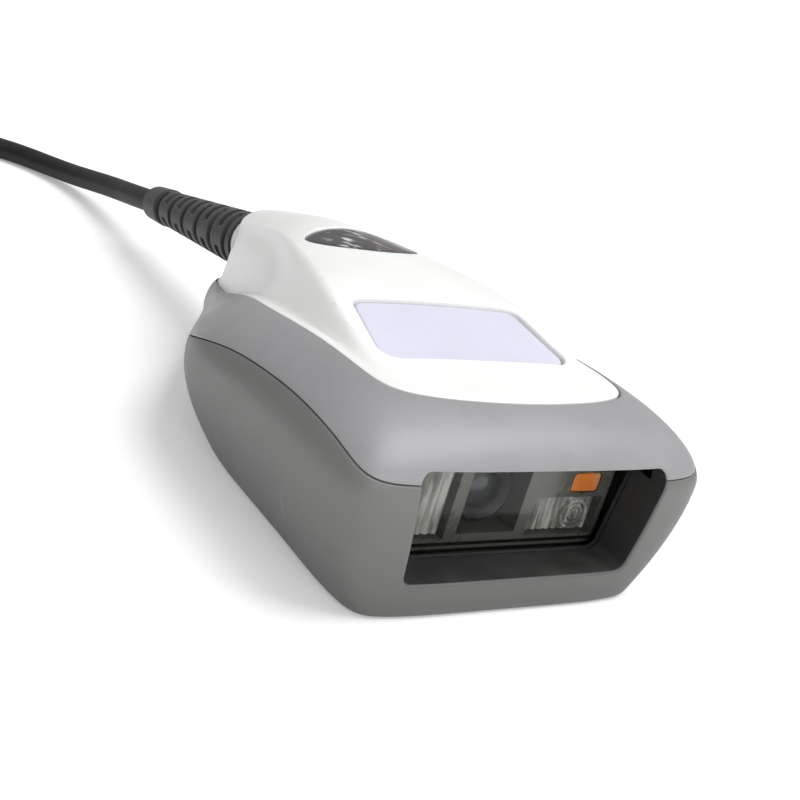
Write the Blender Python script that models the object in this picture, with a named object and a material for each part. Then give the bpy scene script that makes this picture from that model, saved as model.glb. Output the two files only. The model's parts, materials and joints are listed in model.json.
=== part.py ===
"""Palm-size corded barcode scanner: housing shells, trigger, optics, boards, strain relief and cord.

Lengths in this file are millimetres. add_mesh turns them into Blender's metres.
X is across the scanner, +Y runs back from the window to the cord, +Z is up, and the flat base is at z = 0.
"""

import math

import bmesh
import bpy
import numpy as np

MM = 0.001
GAP = 0.3  # clearance between pieces that touch

# Plan outlines: half of the loop, from the nose (x = 0) round the +X side to the tail (x = 0).
WAIST = [
    (0, -46.2), (12, -46.2), (22.8, -45.8), (29.2, -44.0), (31.2, -38.4),
    (31.3, -27), (31.1, -12), (30.2, 1), (27.0, 11.5), (21.8, 20.5),
    (15.9, 30.0), (11.4, 37.5), (9.1, 41.8), (7.3, 45.0), (3.8, 46.15), (0, 46.2),
]
BASE = [
    (0, -44.9), (11, -44.9), (19.8, -44.4), (23.8, -42.5), (24.9, -37.4),
    (24.9, -27), (24.7, -12), (23.9, 0), (20.9, 9.5), (16.1, 17.6),
    (10.9, 26.4), (7.3, 33.0), (5.6, 36.8), (4.3, 39.3), (2.2, 40.6), (0, 40.8),
]
RIM = [
    (0, -36.4), (9, -35.9), (17.6, -34.0), (21.0, -30.8), (21.8, -25.5),
    (21.8, -18), (21.6, -8), (20.9, 2), (18.6, 11), (15.2, 20),
    (12.2, 29.0), (9.6, 36.0), (8.2, 40.5), (6.5, 43.9), (3.4, 45.1), (0, 45.2),
]
# Heights and widths along the body, as (y, value) stations of a smooth curve.
WAIST_HEIGHT = [(-46, 18.5), (-20, 18.0), (0, 15.5), (15, 12.2), (30, 9.6), (48, 7.5)]
RIM_HEIGHT = [
    (-36.4, 27.7), (-22, 27.5), (-10, 26.3), (0, 24.7), (8.5, 22.8),
    (17, 20.0), (27, 16.2), (37, 13.2), (47, 12.0),
]
PARTING_HEIGHT = [
    (-46, 20.2), (-40, 22.0), (-34, 22.8), (-26, 22.8), (-16, 22.0),
    (-5, 20.2), (5.5, 17.0), (15, 13.5), (30, 9.0), (48, 6.5),
]
LEAN_POWER = [(-46, 1.9), (-10, 1.7), (10, 2.0), (48, 2.2)]
SPINE_HEIGHT = [
    (-36.4, 27.7), (-30, 28.1), (-24, 28.7), (-10, 31.3), (2, 32.4),
    (13, 32.6), (24, 31.6), (32, 29.6), (40, 27.2), (48, 24.6),
]
CREST_WIDTH = [(-36, 18.5), (-24, 18.6), (-10, 17.3), (0, 14.8), (12, 12.2), (24, 9.4), (36, 7.6), (48, 7.0)]
CROWN_DROP = [(-36, 0.2), (-24, 0.3), (-10, 0.5), (5, 1.2), (20, 2.4), (32, 3.5), (48, 4.5)]
FLANGE_WIDTH = [(-36, 1.2), (-20, 2.0), (0, 3.0), (15, 3.0), (30, 2.0), (38, 0.8), (48, 0.4)]
SPINE_SPAN = (-22.0, 39.0)
SHOULDER_SWEEP = math.radians(66)

HOUSING_WALL = 2.0
FLOOR = 2.0
BASE_CHAMFER = 0.9
COVER_WALL = 1.6
COVER_SIDE_WALL = 1.4
LEDGE_WIDTH = 3.0
LEDGE_THICKNESS = 1.3
INNER_SKIN = dict(inset=HOUSING_WALL, rim_inset=LEDGE_WIDTH, rim_drop=COVER_WALL + GAP + LEDGE_THICKNESS)
OUTLINE_STEPS = 2  # columns between two outline points

# Scan window in the nose: (half width, height) of its corners.
WINDOW_BOTTOM = (19.2, 5.5)
WINDOW_TOP = (20.6, 21.8)
WINDOW_CORNER = 2.4
TUNNEL_END = -39.0
TUNNEL_WALL = 1.6
TUNNEL_ROOF = [(-22.0, 19.9), (22.0, 19.9), (22.2, 23.4), (-22.2, 23.4)]  # (x, z), over the window's recess
ROOF_FRONT = -41.2

# Trigger button.
TRIGGER_FRONT = (16.6, -24.1)
TRIGGER_REAR = (14.5, -10.1)
TRIGGER_CORNER = 2.2
TRIGGER_CLEARANCE = 0.4
TRIGGER_RECESS = 0.5
TRIGGER_PLATE = 1.5
TRIGGER_CENTRE = (0, -17.0)
TRIGGER_FLANGE_DROP = 2.5
PAD_TOP = 25.4

# Indicator lens on the crest.
LENS_CENTRE = (0, 12.4)
LENS_HALF = (9.9, 5.2)

# Cord and strain relief.
CORD_RADIUS = 2.3
CORD_SLOPE = math.radians(10.2)
RELIEF_START = (0, 45.6, 18.8)
RELIEF_LENGTH = 43.0
RELIEF_RADII = (5.35, 3.15)
RELIEF_FLANGE = 6.3
COIL_CENTRE = (-63.0, 124.0)
COIL_COLUMNS = (18.6, 23.2, 27.8)
COIL_LAYERS = 4
CORD_ROUTE = [
    (0, 100, 8.6), (-0.3, 111, 6.5), (-1.4, 121, 4.5), (-3.6, 130, 3.0), (-7.6, 138.5, 2.4),
    (-13.5, 145.5, 2.3), (-22, 149.8, 2.3), (-33, 150.6, 2.3),
]

PLUG_START = 80.0
PLUG_HEIGHT = 8.0
TAIL_TOP = 14.2
TAIL_ROUTE = [(103, 11.9), (98, 8.6), (93, 6.0), (88, 4.5), (84, 4.0), (80.3, 4.0)]  # (y, z) down to the plug

# Inside: boards, optics and fasteners.
BOARD_LOW = 8.4
BOARD_HIGH = 10.0
KEY_BOARD_HIGH = 22.0
PANE_BACK = -36.3
BRACKET_LOW = 3.8
BRACKET_BACK = -30.5
LAMP_PLACES = (-13.6, 13.6)
LAMP_TOPS = (17.0, 12.2)
LAMP_BOARD = -27.8
IMAGER_Z = 12.2
IMAGER_BACK = -19.5
AIMING_X = 16.0
AIMING_Z = 14.9
BOSS_LOW = 3.0
HOUSING_SEAT = 0.7  # height of the housing screws' heads, in their wells
HOUSING_SCREWS = [(-19.6, -14.6), (19.6, -14.6), (-5.4, 30.4), (5.4, 30.4)]
BOARD_SCREWS = [(-17, -6.5), (17, -6.5), (-10.5, 21.5), (10.5, 21.5)]
BRACKET_SCREWS = [(-17.5, -22.6), (17.5, -22.6)]
KEY_SCREWS = [(11, -27.8), (-11, -6.6)]
LABEL_LOW = (-13, -34, -1)
LABEL_HIGH = (13, -19, 0.9)

LAVENDER = (0.78, 0.78, 0.87)
GREY_LOWER = (0.21, 0.215, 0.205)
GREY_UPPER = (0.33, 0.33, 0.335)
WHITE = (0.88, 0.89, 0.86)
BLACK = (0.015, 0.015, 0.015)
STEEL = (0.62, 0.62, 0.63)
BOARD_GREEN = (0.03, 0.16, 0.07)
CLEAR = (0.85, 0.88, 0.88)
CREAM = (0.75, 0.73, 0.65)


# ---------------------------------------------------------------- smooth curves

def smooth(stations, at):
    """Natural cubic spline through (station, value) pairs, held level past both ends."""
    t, v = np.array(stations, float).T
    at = np.clip(np.asarray(at, float), t[0], t[-1])
    h = np.diff(t)
    n = len(t)
    a = np.eye(n)
    b = np.zeros(n)
    for i in range(1, n - 1):
        a[i, i - 1:i + 2] = h[i - 1], 2 * (h[i - 1] + h[i]), h[i]
        b[i] = 6 * ((v[i + 1] - v[i]) / h[i] - (v[i] - v[i - 1]) / h[i - 1])
    m = np.linalg.solve(a, b)
    k = np.clip(np.searchsorted(t, at) - 1, 0, n - 2)
    u = at - t[k]
    w = t[k + 1] - at
    s = h[k]
    bend = (m[k] * w**3 + m[k + 1] * u**3) / (6 * s)
    return bend + (v[k] / s - m[k] * s / 6) * w + (v[k + 1] / s - m[k + 1] * s / 6) * u


def mirrored(half):
    """Whole loop of points from its +X half."""
    return np.array(half + [(-x, y) for x, y in half[-2:0:-1]], float)


def loop_lengths(half):
    """Distance round the loop at each of its points, and at its start again."""
    points = mirrored(half)
    steps = np.linalg.norm(np.roll(points, -1, axis=0) - points, axis=1)
    return np.concatenate([[0], np.cumsum(steps)])


LOOP = loop_lengths(WAIST)


def loop_points(half, at):
    """Closed cubic spline through an outline, read at distances measured round the waist."""
    points = mirrored(half)
    n = len(points)
    h = np.diff(LOOP)
    a = np.zeros((n, n))
    b = np.zeros((n, 2))
    for i in range(n):
        before = h[i - 1]
        after = h[i]
        following = (i + 1) % n
        a[i, i - 1] += before
        a[i, i] += 2 * (before + after)
        a[i, following] += after
        b[i] = 6 * ((points[following] - points[i]) / after - (points[i] - points[i - 1]) / before)
    m = np.linalg.solve(a, b)
    k = np.clip(np.searchsorted(LOOP, at, side="right") - 1, 0, n - 1)
    j = (k + 1) % n
    u = (at - LOOP[k])[:, None]
    w = (LOOP[k + 1] - at)[:, None]
    s = h[k][:, None]
    bend = (m[k] * w**3 + m[j] * u**3) / (6 * s)
    return bend + (points[k] / s - m[k] * s / 6) * w + (points[j] / s - m[j] * s / 6) * u


def columns(steps=OUTLINE_STEPS):
    """Places round the loop where the shells' columns stand, closer together at the corners."""
    parts = [np.linspace(a, b, steps, endpoint=False) for a, b in zip(LOOP[:-1], LOOP[1:])]
    return np.concatenate(parts)


def outward(loop):
    """Unit normals in plan of a loop of points that runs anticlockwise."""
    along = np.roll(loop, -1, axis=0) - np.roll(loop, 1, axis=0)
    normal = np.column_stack([along[:, 1], -along[:, 0]])
    return normal / np.linalg.norm(normal, axis=1)[:, None]


# ---------------------------------------------------------------- housing envelope

def body_ring(at, v, inset=0.0, rim_inset=0.0, rim_drop=0.0):
    """One ring of the body's skin: v runs from 0 at the base through 1 at the waist to 2 at the rim."""
    base = loop_points(BASE, at)
    waist = loop_points(WAIST, at)
    rim = loop_points(RIM, at)
    waist_z = smooth(WAIST_HEIGHT, waist[:, 1])
    rim_z = smooth(RIM_HEIGHT, rim[:, 1]) - rim_drop
    lean = np.clip(1 - v, 0, 1) ** smooth(LEAN_POWER, waist[:, 1])
    side = waist + (base - waist) * lean[:, None]
    side = side - outward(side) * inset
    rim = rim - outward(rim) * rim_inset
    sweep = np.clip(v - 1, 0, 1) * SHOULDER_SWEEP
    inward = (1 - np.cos(sweep)) / (1 - math.cos(SHOULDER_SWEEP))
    upward = np.sin(sweep) / math.sin(SHOULDER_SWEEP)
    plan = side + (rim - side) * inward[:, None]
    height = np.where(v < 1, waist_z * np.clip(v, 0, 1), waist_z + (rim_z - waist_z) * upward)
    return np.column_stack([plan, height])


def level_at(at, height_of, **skin):
    """The v at which each column reaches the height that height_of gives for its place."""
    low = np.zeros(len(at))
    high = np.full(len(at), 2.0)
    for _ in range(40):
        middle = (low + high) / 2
        ring = body_ring(at, middle, **skin)
        below = ring[:, 2] < height_of(ring[:, 1])
        low = np.where(below, middle, low)
        high = np.where(below, high, middle)
    return low


def cover_height(plan, rim, q, wall=0.0):
    """Height of the cover's skin at plan points, a share q of the way from the rim to the spine."""
    rim_z = smooth(RIM_HEIGHT, rim[:, 1])
    spine = np.column_stack([np.zeros(len(rim)), np.clip(rim[:, 1], *SPINE_SPAN)])
    reach = np.linalg.norm(rim - spine, axis=1)
    flange = smooth(FLANGE_WIDTH, rim[:, 1]) / reach
    crest = smooth(CREST_WIDTH, rim[:, 1]) - (COVER_SIDE_WALL if wall else 0)
    crest_at = 1 - crest / np.maximum(np.abs(rim[:, 0]), 1)
    crest_at = np.clip(crest_at, flange + (1.6 + wall) / reach, 0.9)
    start = flange / 2 + (COVER_SIDE_WALL / reach if wall else 0)
    rise = np.clip((q - start) / (crest_at - start), 0, 1)
    rise = rise**3 * (rise * (6 * rise - 15) + 10)
    width = smooth(CREST_WIDTH, plan[:, 1])
    top = smooth(SPINE_HEIGHT, plan[:, 1]) - smooth(CROWN_DROP, plan[:, 1]) * (plan[:, 0] / width) ** 2
    return rim_z + (top - rim_z) * rise - wall


def cover_ring(at, q, wall=0.0):
    """One ring of the cover's outer skin, or of its inner skin a wall below, with a q for each column."""
    rim = loop_points(RIM, at)
    spine = np.column_stack([np.zeros(len(rim)), np.clip(rim[:, 1], *SPINE_SPAN)])
    plan = rim + (spine - rim) * q[:, None]
    return np.column_stack([plan, cover_height(plan, rim, q, wall)])


def crest_height(x, y):
    """Height of the top of the cover above a point near its middle."""
    return smooth(SPINE_HEIGHT, y) - smooth(CROWN_DROP, y) * (x / smooth(CREST_WIDTH, y)) ** 2


# ---------------------------------------------------------------- mesh tools

def make_material(name, colour, roughness, metallic=0.0, alpha=1.0):
    material = bpy.data.materials.new(name)
    material.use_nodes = True
    shader = material.node_tree.nodes["Principled BSDF"]
    shader.inputs["Base Color"].default_value = (*colour, 1)
    shader.inputs["Roughness"].default_value = roughness
    shader.inputs["Metallic"].default_value = metallic
    shader.inputs["Alpha"].default_value = alpha
    return material


def add_mesh(name, verts, faces, colour=None, roughness=0.5, metallic=0.0, origin=(0, 0, 0)):
    """Make an object from millimetre points. Without a colour it is a hidden cutter or joined piece."""
    mesh = bpy.data.meshes.new(name)
    shifted = (np.array(verts, float) - np.array(origin, float)) * MM
    mesh.from_pydata([tuple(p) for p in shifted], [], faces)
    bm = bmesh.new()
    bm.from_mesh(mesh)
    bmesh.ops.recalc_face_normals(bm, faces=bm.faces)
    bm.to_mesh(mesh)
    bm.free()
    obj = bpy.data.objects.new(name, mesh)
    obj.location = [c * MM for c in origin]
    bpy.context.scene.collection.objects.link(obj)
    if colour is None:
        obj.hide_render = True
        obj.display_type = "WIRE"
    else:
        mesh.materials.append(make_material(name, colour, roughness, metallic))
        mesh.shade_smooth()
        mesh.set_sharp_from_angle(angle=math.radians(35))
    return obj


def add_each(name, solids, *finish):
    """Make a numbered object of each solid, all of one finish."""
    for number, solid in enumerate(solids, start=1):
        add_mesh(f"{name}_{number}", *solid, *finish)


def stitch(a, b, n):
    """Faces between two rings of n points that start at indices a and b."""
    return [(a + i, a + (i + 1) % n, b + (i + 1) % n, b + i) for i in range(n)]


def ladder(start, n):
    """Rungs across a mirrored ring, which close it."""
    half = n // 2
    faces = [(start, start + 1, start + n - 1)]
    for i in range(1, half - 1):
        faces.append((start + i, start + i + 1, start + n - i - 1, start + n - i))
    faces.append((start + half - 1, start + half, start + half + 1))
    return faces


def ring_solid(rings, closed_up=False):
    """Verts and faces of stacked rings: ends laddered, or the last ring joined to the first."""
    n = len(rings[0])
    faces = []
    for k in range(len(rings) - 1):
        faces += stitch(k * n, (k + 1) * n, n)
    if closed_up:
        faces += stitch((len(rings) - 1) * n, 0, n)
    else:
        faces += ladder(0, n) + ladder((len(rings) - 1) * n, n)
    return np.concatenate(rings), faces


def fan_solid(rings):
    """Verts and faces of stacked rings of any outline, with an n-gon on each end."""
    n = len(rings[0])
    faces = []
    for k in range(len(rings) - 1):
        faces += stitch(k * n, (k + 1) * n, n)
    last = (len(rings) - 1) * n
    faces += [tuple(range(n)), tuple(range(last, last + n))]
    return np.concatenate(rings), faces


def join_solids(solids):
    """Separate solids as one list of verts and faces."""
    verts = []
    faces = []
    count = 0
    for points, around in solids:
        verts.append(np.array(points, float))
        faces += [tuple(i + count for i in face) for face in around]
        count += len(points)
    return np.concatenate(verts), faces


def box_solid(low, high):
    corners = [(x, y, z) for z in (low[2], high[2]) for x, y in
               ((low[0], low[1]), (high[0], low[1]), (high[0], high[1]), (low[0], high[1]))]
    faces = [(0, 3, 2, 1), (4, 5, 6, 7), (0, 1, 5, 4), (1, 2, 6, 5), (2, 3, 7, 6), (3, 0, 4, 7)]
    return np.array(corners, float), faces


def frame_of(axis):
    """Two unit vectors across an axis."""
    axis = np.array(axis, float) / np.linalg.norm(axis)
    side = np.array([1.0, 0, 0]) if abs(axis[0]) < 0.9 else np.array([0, 1.0, 0])
    across = np.cross(axis, side)
    across /= np.linalg.norm(across)
    return axis, across, np.cross(axis, across)


def turned_solid(start, axis, profile, sides=16):
    """Solid turned about an axis, from (distance, radius) pairs along it."""
    axis, across, other = frame_of(axis)
    angles = np.arange(sides) * 2 * math.pi / sides
    circle = np.cos(angles)[:, None] * across + np.sin(angles)[:, None] * other
    return fan_solid([np.array(start, float) + axis * d + circle * r for d, r in profile])


def hollow_turned(start, axis, profile, sides=16):
    """Turned ring whose (distance, radius) profile is a closed loop."""
    axis, across, other = frame_of(axis)
    angles = np.arange(sides) * 2 * math.pi / sides
    circle = np.cos(angles)[:, None] * across + np.sin(angles)[:, None] * other
    return ring_solid([np.array(start, float) + axis * d + circle * r for d, r in profile], closed_up=True)


def rounded_outline(corners, radius, steps=3):
    """Convex outline with its corners rounded by arcs."""
    corners = [np.array(c, float) for c in corners]
    points = []
    for i, corner in enumerate(corners):
        back = corners[i - 1] - corner
        ahead = corners[(i + 1) % len(corners)] - corner
        back /= np.linalg.norm(back)
        ahead /= np.linalg.norm(ahead)
        half = math.acos(np.clip(back @ ahead, -1, 1)) / 2
        middle = (back + ahead) / np.linalg.norm(back + ahead)
        centre = corner + middle * radius / math.sin(half)
        first = corner + back * radius / math.tan(half) - centre
        last = corner + ahead * radius / math.tan(half) - centre
        for k in range(steps + 1):
            turn = k / steps
            direction = first * (1 - turn) + last * turn
            points.append(centre + direction / np.linalg.norm(direction) * radius)
    return np.array(points)


def prism_solid(outline, low, high, lift="xy"):
    """Outline pushed from low to high along Z, or along Y when the outline is in XZ."""
    def ring(level):
        level = np.full(len(outline), float(level))
        if lift == "xy":
            return np.column_stack([outline, level])
        return np.column_stack([outline[:, 0], level, outline[:, 1]])
    return fan_solid([ring(low), ring(high)])


def boolean(target, tool, operation="DIFFERENCE"):
    modifier = target.modifiers.new(tool.name, "BOOLEAN")
    modifier.operation = operation
    modifier.solver = "EXACT"
    modifier.object = tool


def tool(name, solid):
    return add_mesh("tool_" + name, *solid)


# ---------------------------------------------------------------- outlines of openings

def window_outline(grow=0.0, top=None):
    """Rounded trapezoid of the scan window in XZ."""
    top_z = WINDOW_TOP[1] + grow if top is None else top
    corners = [
        (-WINDOW_BOTTOM[0] - grow, WINDOW_BOTTOM[1] - grow), (WINDOW_BOTTOM[0] + grow, WINDOW_BOTTOM[1] - grow),
        (WINDOW_TOP[0] + grow, top_z), (-WINDOW_TOP[0] - grow, top_z),
    ]
    return rounded_outline(corners, WINDOW_CORNER + grow)


def trigger_outline(grow=0.0):
    """Rounded trapezoid of the trigger button in plan."""
    corners = [
        (-TRIGGER_FRONT[0] - grow, TRIGGER_FRONT[1] - grow), (TRIGGER_FRONT[0] + grow, TRIGGER_FRONT[1] - grow),
        (TRIGGER_REAR[0] + grow, TRIGGER_REAR[1] + grow), (-TRIGGER_REAR[0] - grow, TRIGGER_REAR[1] + grow),
    ]
    return rounded_outline(corners, TRIGGER_CORNER + grow)


def lens_outline(grow=0.0, sides=24):
    angles = np.arange(sides) * 2 * math.pi / sides
    return np.column_stack([
        LENS_CENTRE[0] + (LENS_HALF[0] + grow) * np.cos(angles),
        LENS_CENTRE[1] + (LENS_HALF[1] + grow) * np.sin(angles),
    ])


def crowned_slab(outline, depth, thickness=0.0, low=None):
    """Slab that follows the crest of the cover at a depth, with its underside flat at low, if given."""
    centre = outline.mean(axis=0)
    rings = []
    for scale, below in ((0.4, 0), (1, 0), (1, thickness), (0.4, thickness)):
        plan = centre + (outline - centre) * scale
        height = crest_height(plan[:, 0], plan[:, 1]) - depth - below
        if low is not None and len(rings) > 1:
            height = np.full(len(plan), low)
        rings.append(np.column_stack([plan, height]))
    return fan_solid(rings)


# ---------------------------------------------------------------- housing shells

def seam(offset):
    return lambda y: smooth(PARTING_HEIGHT, y) + offset


def build_lower_housing():
    at = columns()
    outer_top = level_at(at, seam(-GAP / 2))
    inner_top = level_at(at, seam(-GAP / 2), **INNER_SKIN)
    waist_z = smooth(WAIST_HEIGHT, loop_points(WAIST, at)[:, 1])
    base = body_ring(at, np.zeros(len(at)), inset=BASE_CHAMFER)
    chamfer = body_ring(at, BASE_CHAMFER / waist_z)
    rings = [base, chamfer]
    for s in (0.3, 0.6, 0.85, 1):
        rings.append(body_ring(at, BASE_CHAMFER / waist_z + (outer_top - BASE_CHAMFER / waist_z) * s))
    floor = FLOOR / waist_z
    for s in (1, 0.6, 0.25, 0):
        rings.append(body_ring(at, floor + (inner_top - floor) * s, **INNER_SKIN))
    housing = add_mesh("lower_housing", *ring_solid(rings), GREY_LOWER, 0.5)
    tunnel = prism_solid(window_outline(TUNNEL_WALL, top=19.6), -45.2, TUNNEL_END, "xz")
    boolean(housing, tool("tunnel", tunnel), "UNION")
    posts = [turned_solid((x, y, 1.2), (0, 0, 1), [(0, 2.4), (BOARD_LOW - GAP - 1.2, 2.4)], 12)
             for x, y in BOARD_SCREWS]
    posts += [turned_solid((x, y, 1.2), (0, 0, 1), [(0, 2.4), (BRACKET_LOW - GAP - 1.2, 2.4)], 12)
              for x, y in BRACKET_SCREWS]
    boolean(housing, tool("posts", join_solids(posts)), "UNION")
    boolean(housing, tool("window", prism_solid(window_outline(), -50, TUNNEL_END + 1, "xz")))
    boolean(housing, tool("screw_wells", join_solids(
        [turned_solid((x, y, -1), (0, 0, 1), [(0, 1.5), (5, 1.5)], 12) for x, y in HOUSING_SCREWS])))
    boolean(housing, tool("screw_sinks", join_solids(
        [turned_solid((x, y, -1), (0, 0, 1), [(0, 2.6), (2.0, 2.6)], 12) for x, y in HOUSING_SCREWS])))
    post_holes = [turned_solid((x, y, 2.6), (0, 0, 1), [(0, 1.1), (8, 1.1)], 10)
                  for x, y in BOARD_SCREWS + BRACKET_SCREWS]
    boolean(housing, tool("post_holes", join_solids(post_holes)))
    boolean(housing, tool("label_recess", box_solid(LABEL_LOW, LABEL_HIGH)))


def build_upper_housing():
    at = columns()
    drop = COVER_WALL + GAP
    outer_low = level_at(at, seam(GAP / 2))
    inner_low = level_at(at, seam(GAP / 2), **INNER_SKIN)
    rim = loop_points(RIM, at)
    out = outward(rim)
    rim_z = smooth(RIM_HEIGHT, rim[:, 1])
    edge = rim + out * GAP / 2
    rings = []
    for s in (0, 0.25, 0.5, 0.75):
        rings.append(body_ring(at, outer_low + (2 - outer_low) * s))
    rings.append(np.column_stack([edge, rim_z]))
    rings.append(np.column_stack([edge, rim_z - drop]))
    for s in (0, 0.3, 0.65, 1):
        rings.append(body_ring(at, 2 + (inner_low - 2) * s, **INNER_SKIN))
    ledge = rings[6].copy()
    ledge[:, 2] = rim_z - drop
    rings.insert(6, ledge)
    housing = add_mesh("upper_housing", *ring_solid(rings, closed_up=True), GREY_UPPER, 0.42)
    bosses = [turned_solid((x, y, BOSS_LOW), (0, 0, 1), [(0, 2.9), (24.4 - BOSS_LOW, 2.9)], 12)
              for x, y in HOUSING_SCREWS[:2]]
    boolean(housing, tool("front_bosses", join_solids(bosses)), "UNION")
    roof = prism_solid(np.array(TUNNEL_ROOF), ROOF_FRONT, TUNNEL_END, "xz")
    boolean(housing, tool("tunnel_roof", roof), "UNION")
    boolean(housing, bpy.data.objects["tool_window"])
    boss_holes = [turned_solid((x, y, BOSS_LOW - 1), (0, 0, 1), [(0, 1.15), (12, 1.15)], 10)
                  for x, y in HOUSING_SCREWS[:2]]
    boolean(housing, tool("boss_holes", join_solids(boss_holes)))
    saddle = turned_solid(relief_point(-7), relief_axis(), [(0, 7.2), (10, 7.2)], 20)
    boolean(housing, tool("relief_saddle", saddle))


def build_top_cover():
    at = columns()
    rim = loop_points(RIM, at)
    spine = np.column_stack([np.zeros(len(rim)), np.clip(rim[:, 1], *SPINE_SPAN)])
    reach = np.linalg.norm(rim - spine, axis=1)
    rim_z = smooth(RIM_HEIGHT, rim[:, 1])
    edge = rim - outward(rim) * GAP / 2
    start = GAP / reach
    rings = [np.column_stack([edge, rim_z - COVER_WALL]), np.column_stack([edge, rim_z])]
    for s in (0.06, 0.14, 0.24, 0.36, 0.55, 0.85):
        rings.append(cover_ring(at, start + (1 - start) * s))
    inner_start = (LEDGE_WIDTH * 0.6) / reach
    for s in (0.85, 0.6, 0.42, 0.28, 0.14, 0):
        rings.append(cover_ring(at, inner_start + (1 - inner_start) * s, COVER_WALL))
    verts, faces = np.concatenate(rings), []
    n = len(at)
    outer = 8
    for k in range(len(rings) - 1):
        if k != outer - 1:
            faces += stitch(k * n, (k + 1) * n, n)
    faces += ladder((outer - 1) * n, n) + ladder(outer * n, n)
    faces += stitch((len(rings) - 1) * n, 0, n)
    cover = add_mesh("top_cover", verts, faces, WHITE, 0.35)
    bosses = [turned_solid((x, y, BOSS_LOW), (0, 0, 1), [(0, 2.4), (25.4 - BOSS_LOW, 2.4)], 12)
              for x, y in HOUSING_SCREWS[2:]]
    bosses += [turned_solid((x, y, KEY_BOARD_HIGH + GAP), (0, 0, 1),
                            [(0, 1.7), (crest_height(x, y) - 0.8 - KEY_BOARD_HIGH - GAP, 1.7)], 10)
               for x, y in KEY_SCREWS]
    boolean(cover, tool("cover_bosses", join_solids(bosses)), "UNION")
    rear_holes = [turned_solid((x, y, BOSS_LOW - 1), (0, 0, 1), [(0, 1.15), (12, 1.15)], 10)
                  for x, y in HOUSING_SCREWS[2:]]
    boolean(cover, tool("rear_holes", join_solids(rear_holes)))
    key_holes = [turned_solid((x, y, KEY_BOARD_HIGH - 1), (0, 0, 1), [(0, 0.8), (4.5, 0.8)], 8)
                 for x, y in KEY_SCREWS]
    boolean(cover, tool("key_holes", join_solids(key_holes)))
    boolean(cover, tool("trigger_opening", prism_solid(trigger_outline(TRIGGER_CLEARANCE), 20, 40)))
    boolean(cover, tool("lens_opening", prism_solid(lens_outline(GAP), 20, 40)))
    passage = RELIEF_RADII[0] + GAP
    collar = RELIEF_FLANGE + GAP
    profile = [(-12, passage), (-6.3, passage), (-6.3, collar), (-3.9, collar), (-3.9, passage), (8, passage)]
    boolean(cover, tool("relief_hole", turned_solid(relief_point(0), relief_axis(), profile, 20)))


# ---------------------------------------------------------------- trigger and indicator

def build_trigger():
    x, y = TRIGGER_CENTRE
    button = crowned_slab(trigger_outline(), TRIGGER_RECESS, TRIGGER_PLATE)
    trigger = add_mesh("trigger_button", *button, LAVENDER, 0.4, origin=(x, y, PAD_TOP + GAP))
    flange = crowned_slab(trigger_outline(1.0), TRIGGER_FLANGE_DROP, 0.8)
    riser = crowned_slab(trigger_outline(-1.2), 1.3, 1.6)
    angles = np.arange(16) * math.pi / 8
    circle = np.column_stack([x + 6 * np.cos(angles), y + 6 * np.sin(angles)])
    core = crowned_slab(circle, 1.5, low=PAD_TOP + GAP)
    for name, solid in (("riser", riser), ("flange", flange), ("core", core)):
        piece = tool("trigger_" + name, solid)
        boolean(trigger, piece, "UNION")
    pad = [(0, 4.4), (0, 5.6), (PAD_TOP - KEY_BOARD_HIGH - GAP, 4.6), (PAD_TOP - KEY_BOARD_HIGH - GAP, 3.6)]
    cone = hollow_turned((x, y, KEY_BOARD_HIGH + GAP), (0, 0, 1), pad, 16)
    add_mesh("return_pad", *cone, (0.55, 0.55, 0.53), 0.6)


def build_switch():
    x, y = TRIGGER_CENTRE
    low = KEY_BOARD_HIGH + GAP
    body = box_solid((x - 2.4, y - 2.4, low), (x + 2.4, y + 2.4, low + 2.2))
    switch = add_mesh("tact_switch", *body, BLACK, 0.5)
    boolean(switch, tool("switch_well", turned_solid((x, y, low + 0.8), (0, 0, 1), [(0, 1.75), (3, 1.75)], 12)))
    plunger = turned_solid((x, y, low + 1.6), (0, 0, 1), [(0, 1.4), (PAD_TOP - low - 1.6, 1.4)], 12)
    add_mesh("switch_plunger", *plunger, (0.5, 0.4, 0.1), 0.45, origin=(x, y, PAD_TOP))


def build_indicator():
    lens = crowned_slab(lens_outline(), 0.15, 1.3)
    add_mesh("indicator_lens", *lens, (0.06, 0.055, 0.055), 0.15)
    x, y = LENS_CENTRE
    led_top = BOARD_HIGH + 1.4
    pipe = turned_solid((x, y, led_top + GAP), (0, 0, 1), [(0, 1.8), (9, 1.8), (17.3, 4.0)], 14)
    add_mesh("indicator_light_pipe", *pipe, CLEAR, 0.1)
    led = box_solid((x - 1.5, y - 1.5, BOARD_HIGH + GAP), (x + 1.5, y + 1.5, led_top))
    add_mesh("indicator_led", *led, CREAM, 0.4)


# ---------------------------------------------------------------- optics

def build_window():
    seal = prism_solid(window_outline(1.3, top=22.6), TUNNEL_END + GAP, TUNNEL_END + 1.1, "xz")
    seal_object = add_mesh("window_seal", *seal, BLACK, 0.8)
    boolean(seal_object, tool("seal_opening", prism_solid(window_outline(0.2), -41, -36, "xz")))
    pane = prism_solid(window_outline(1.2, top=22.4), TUNNEL_END + 1.4, PANE_BACK, "xz")
    add_mesh("scan_window", *pane, CLEAR, 0.05)


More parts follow.
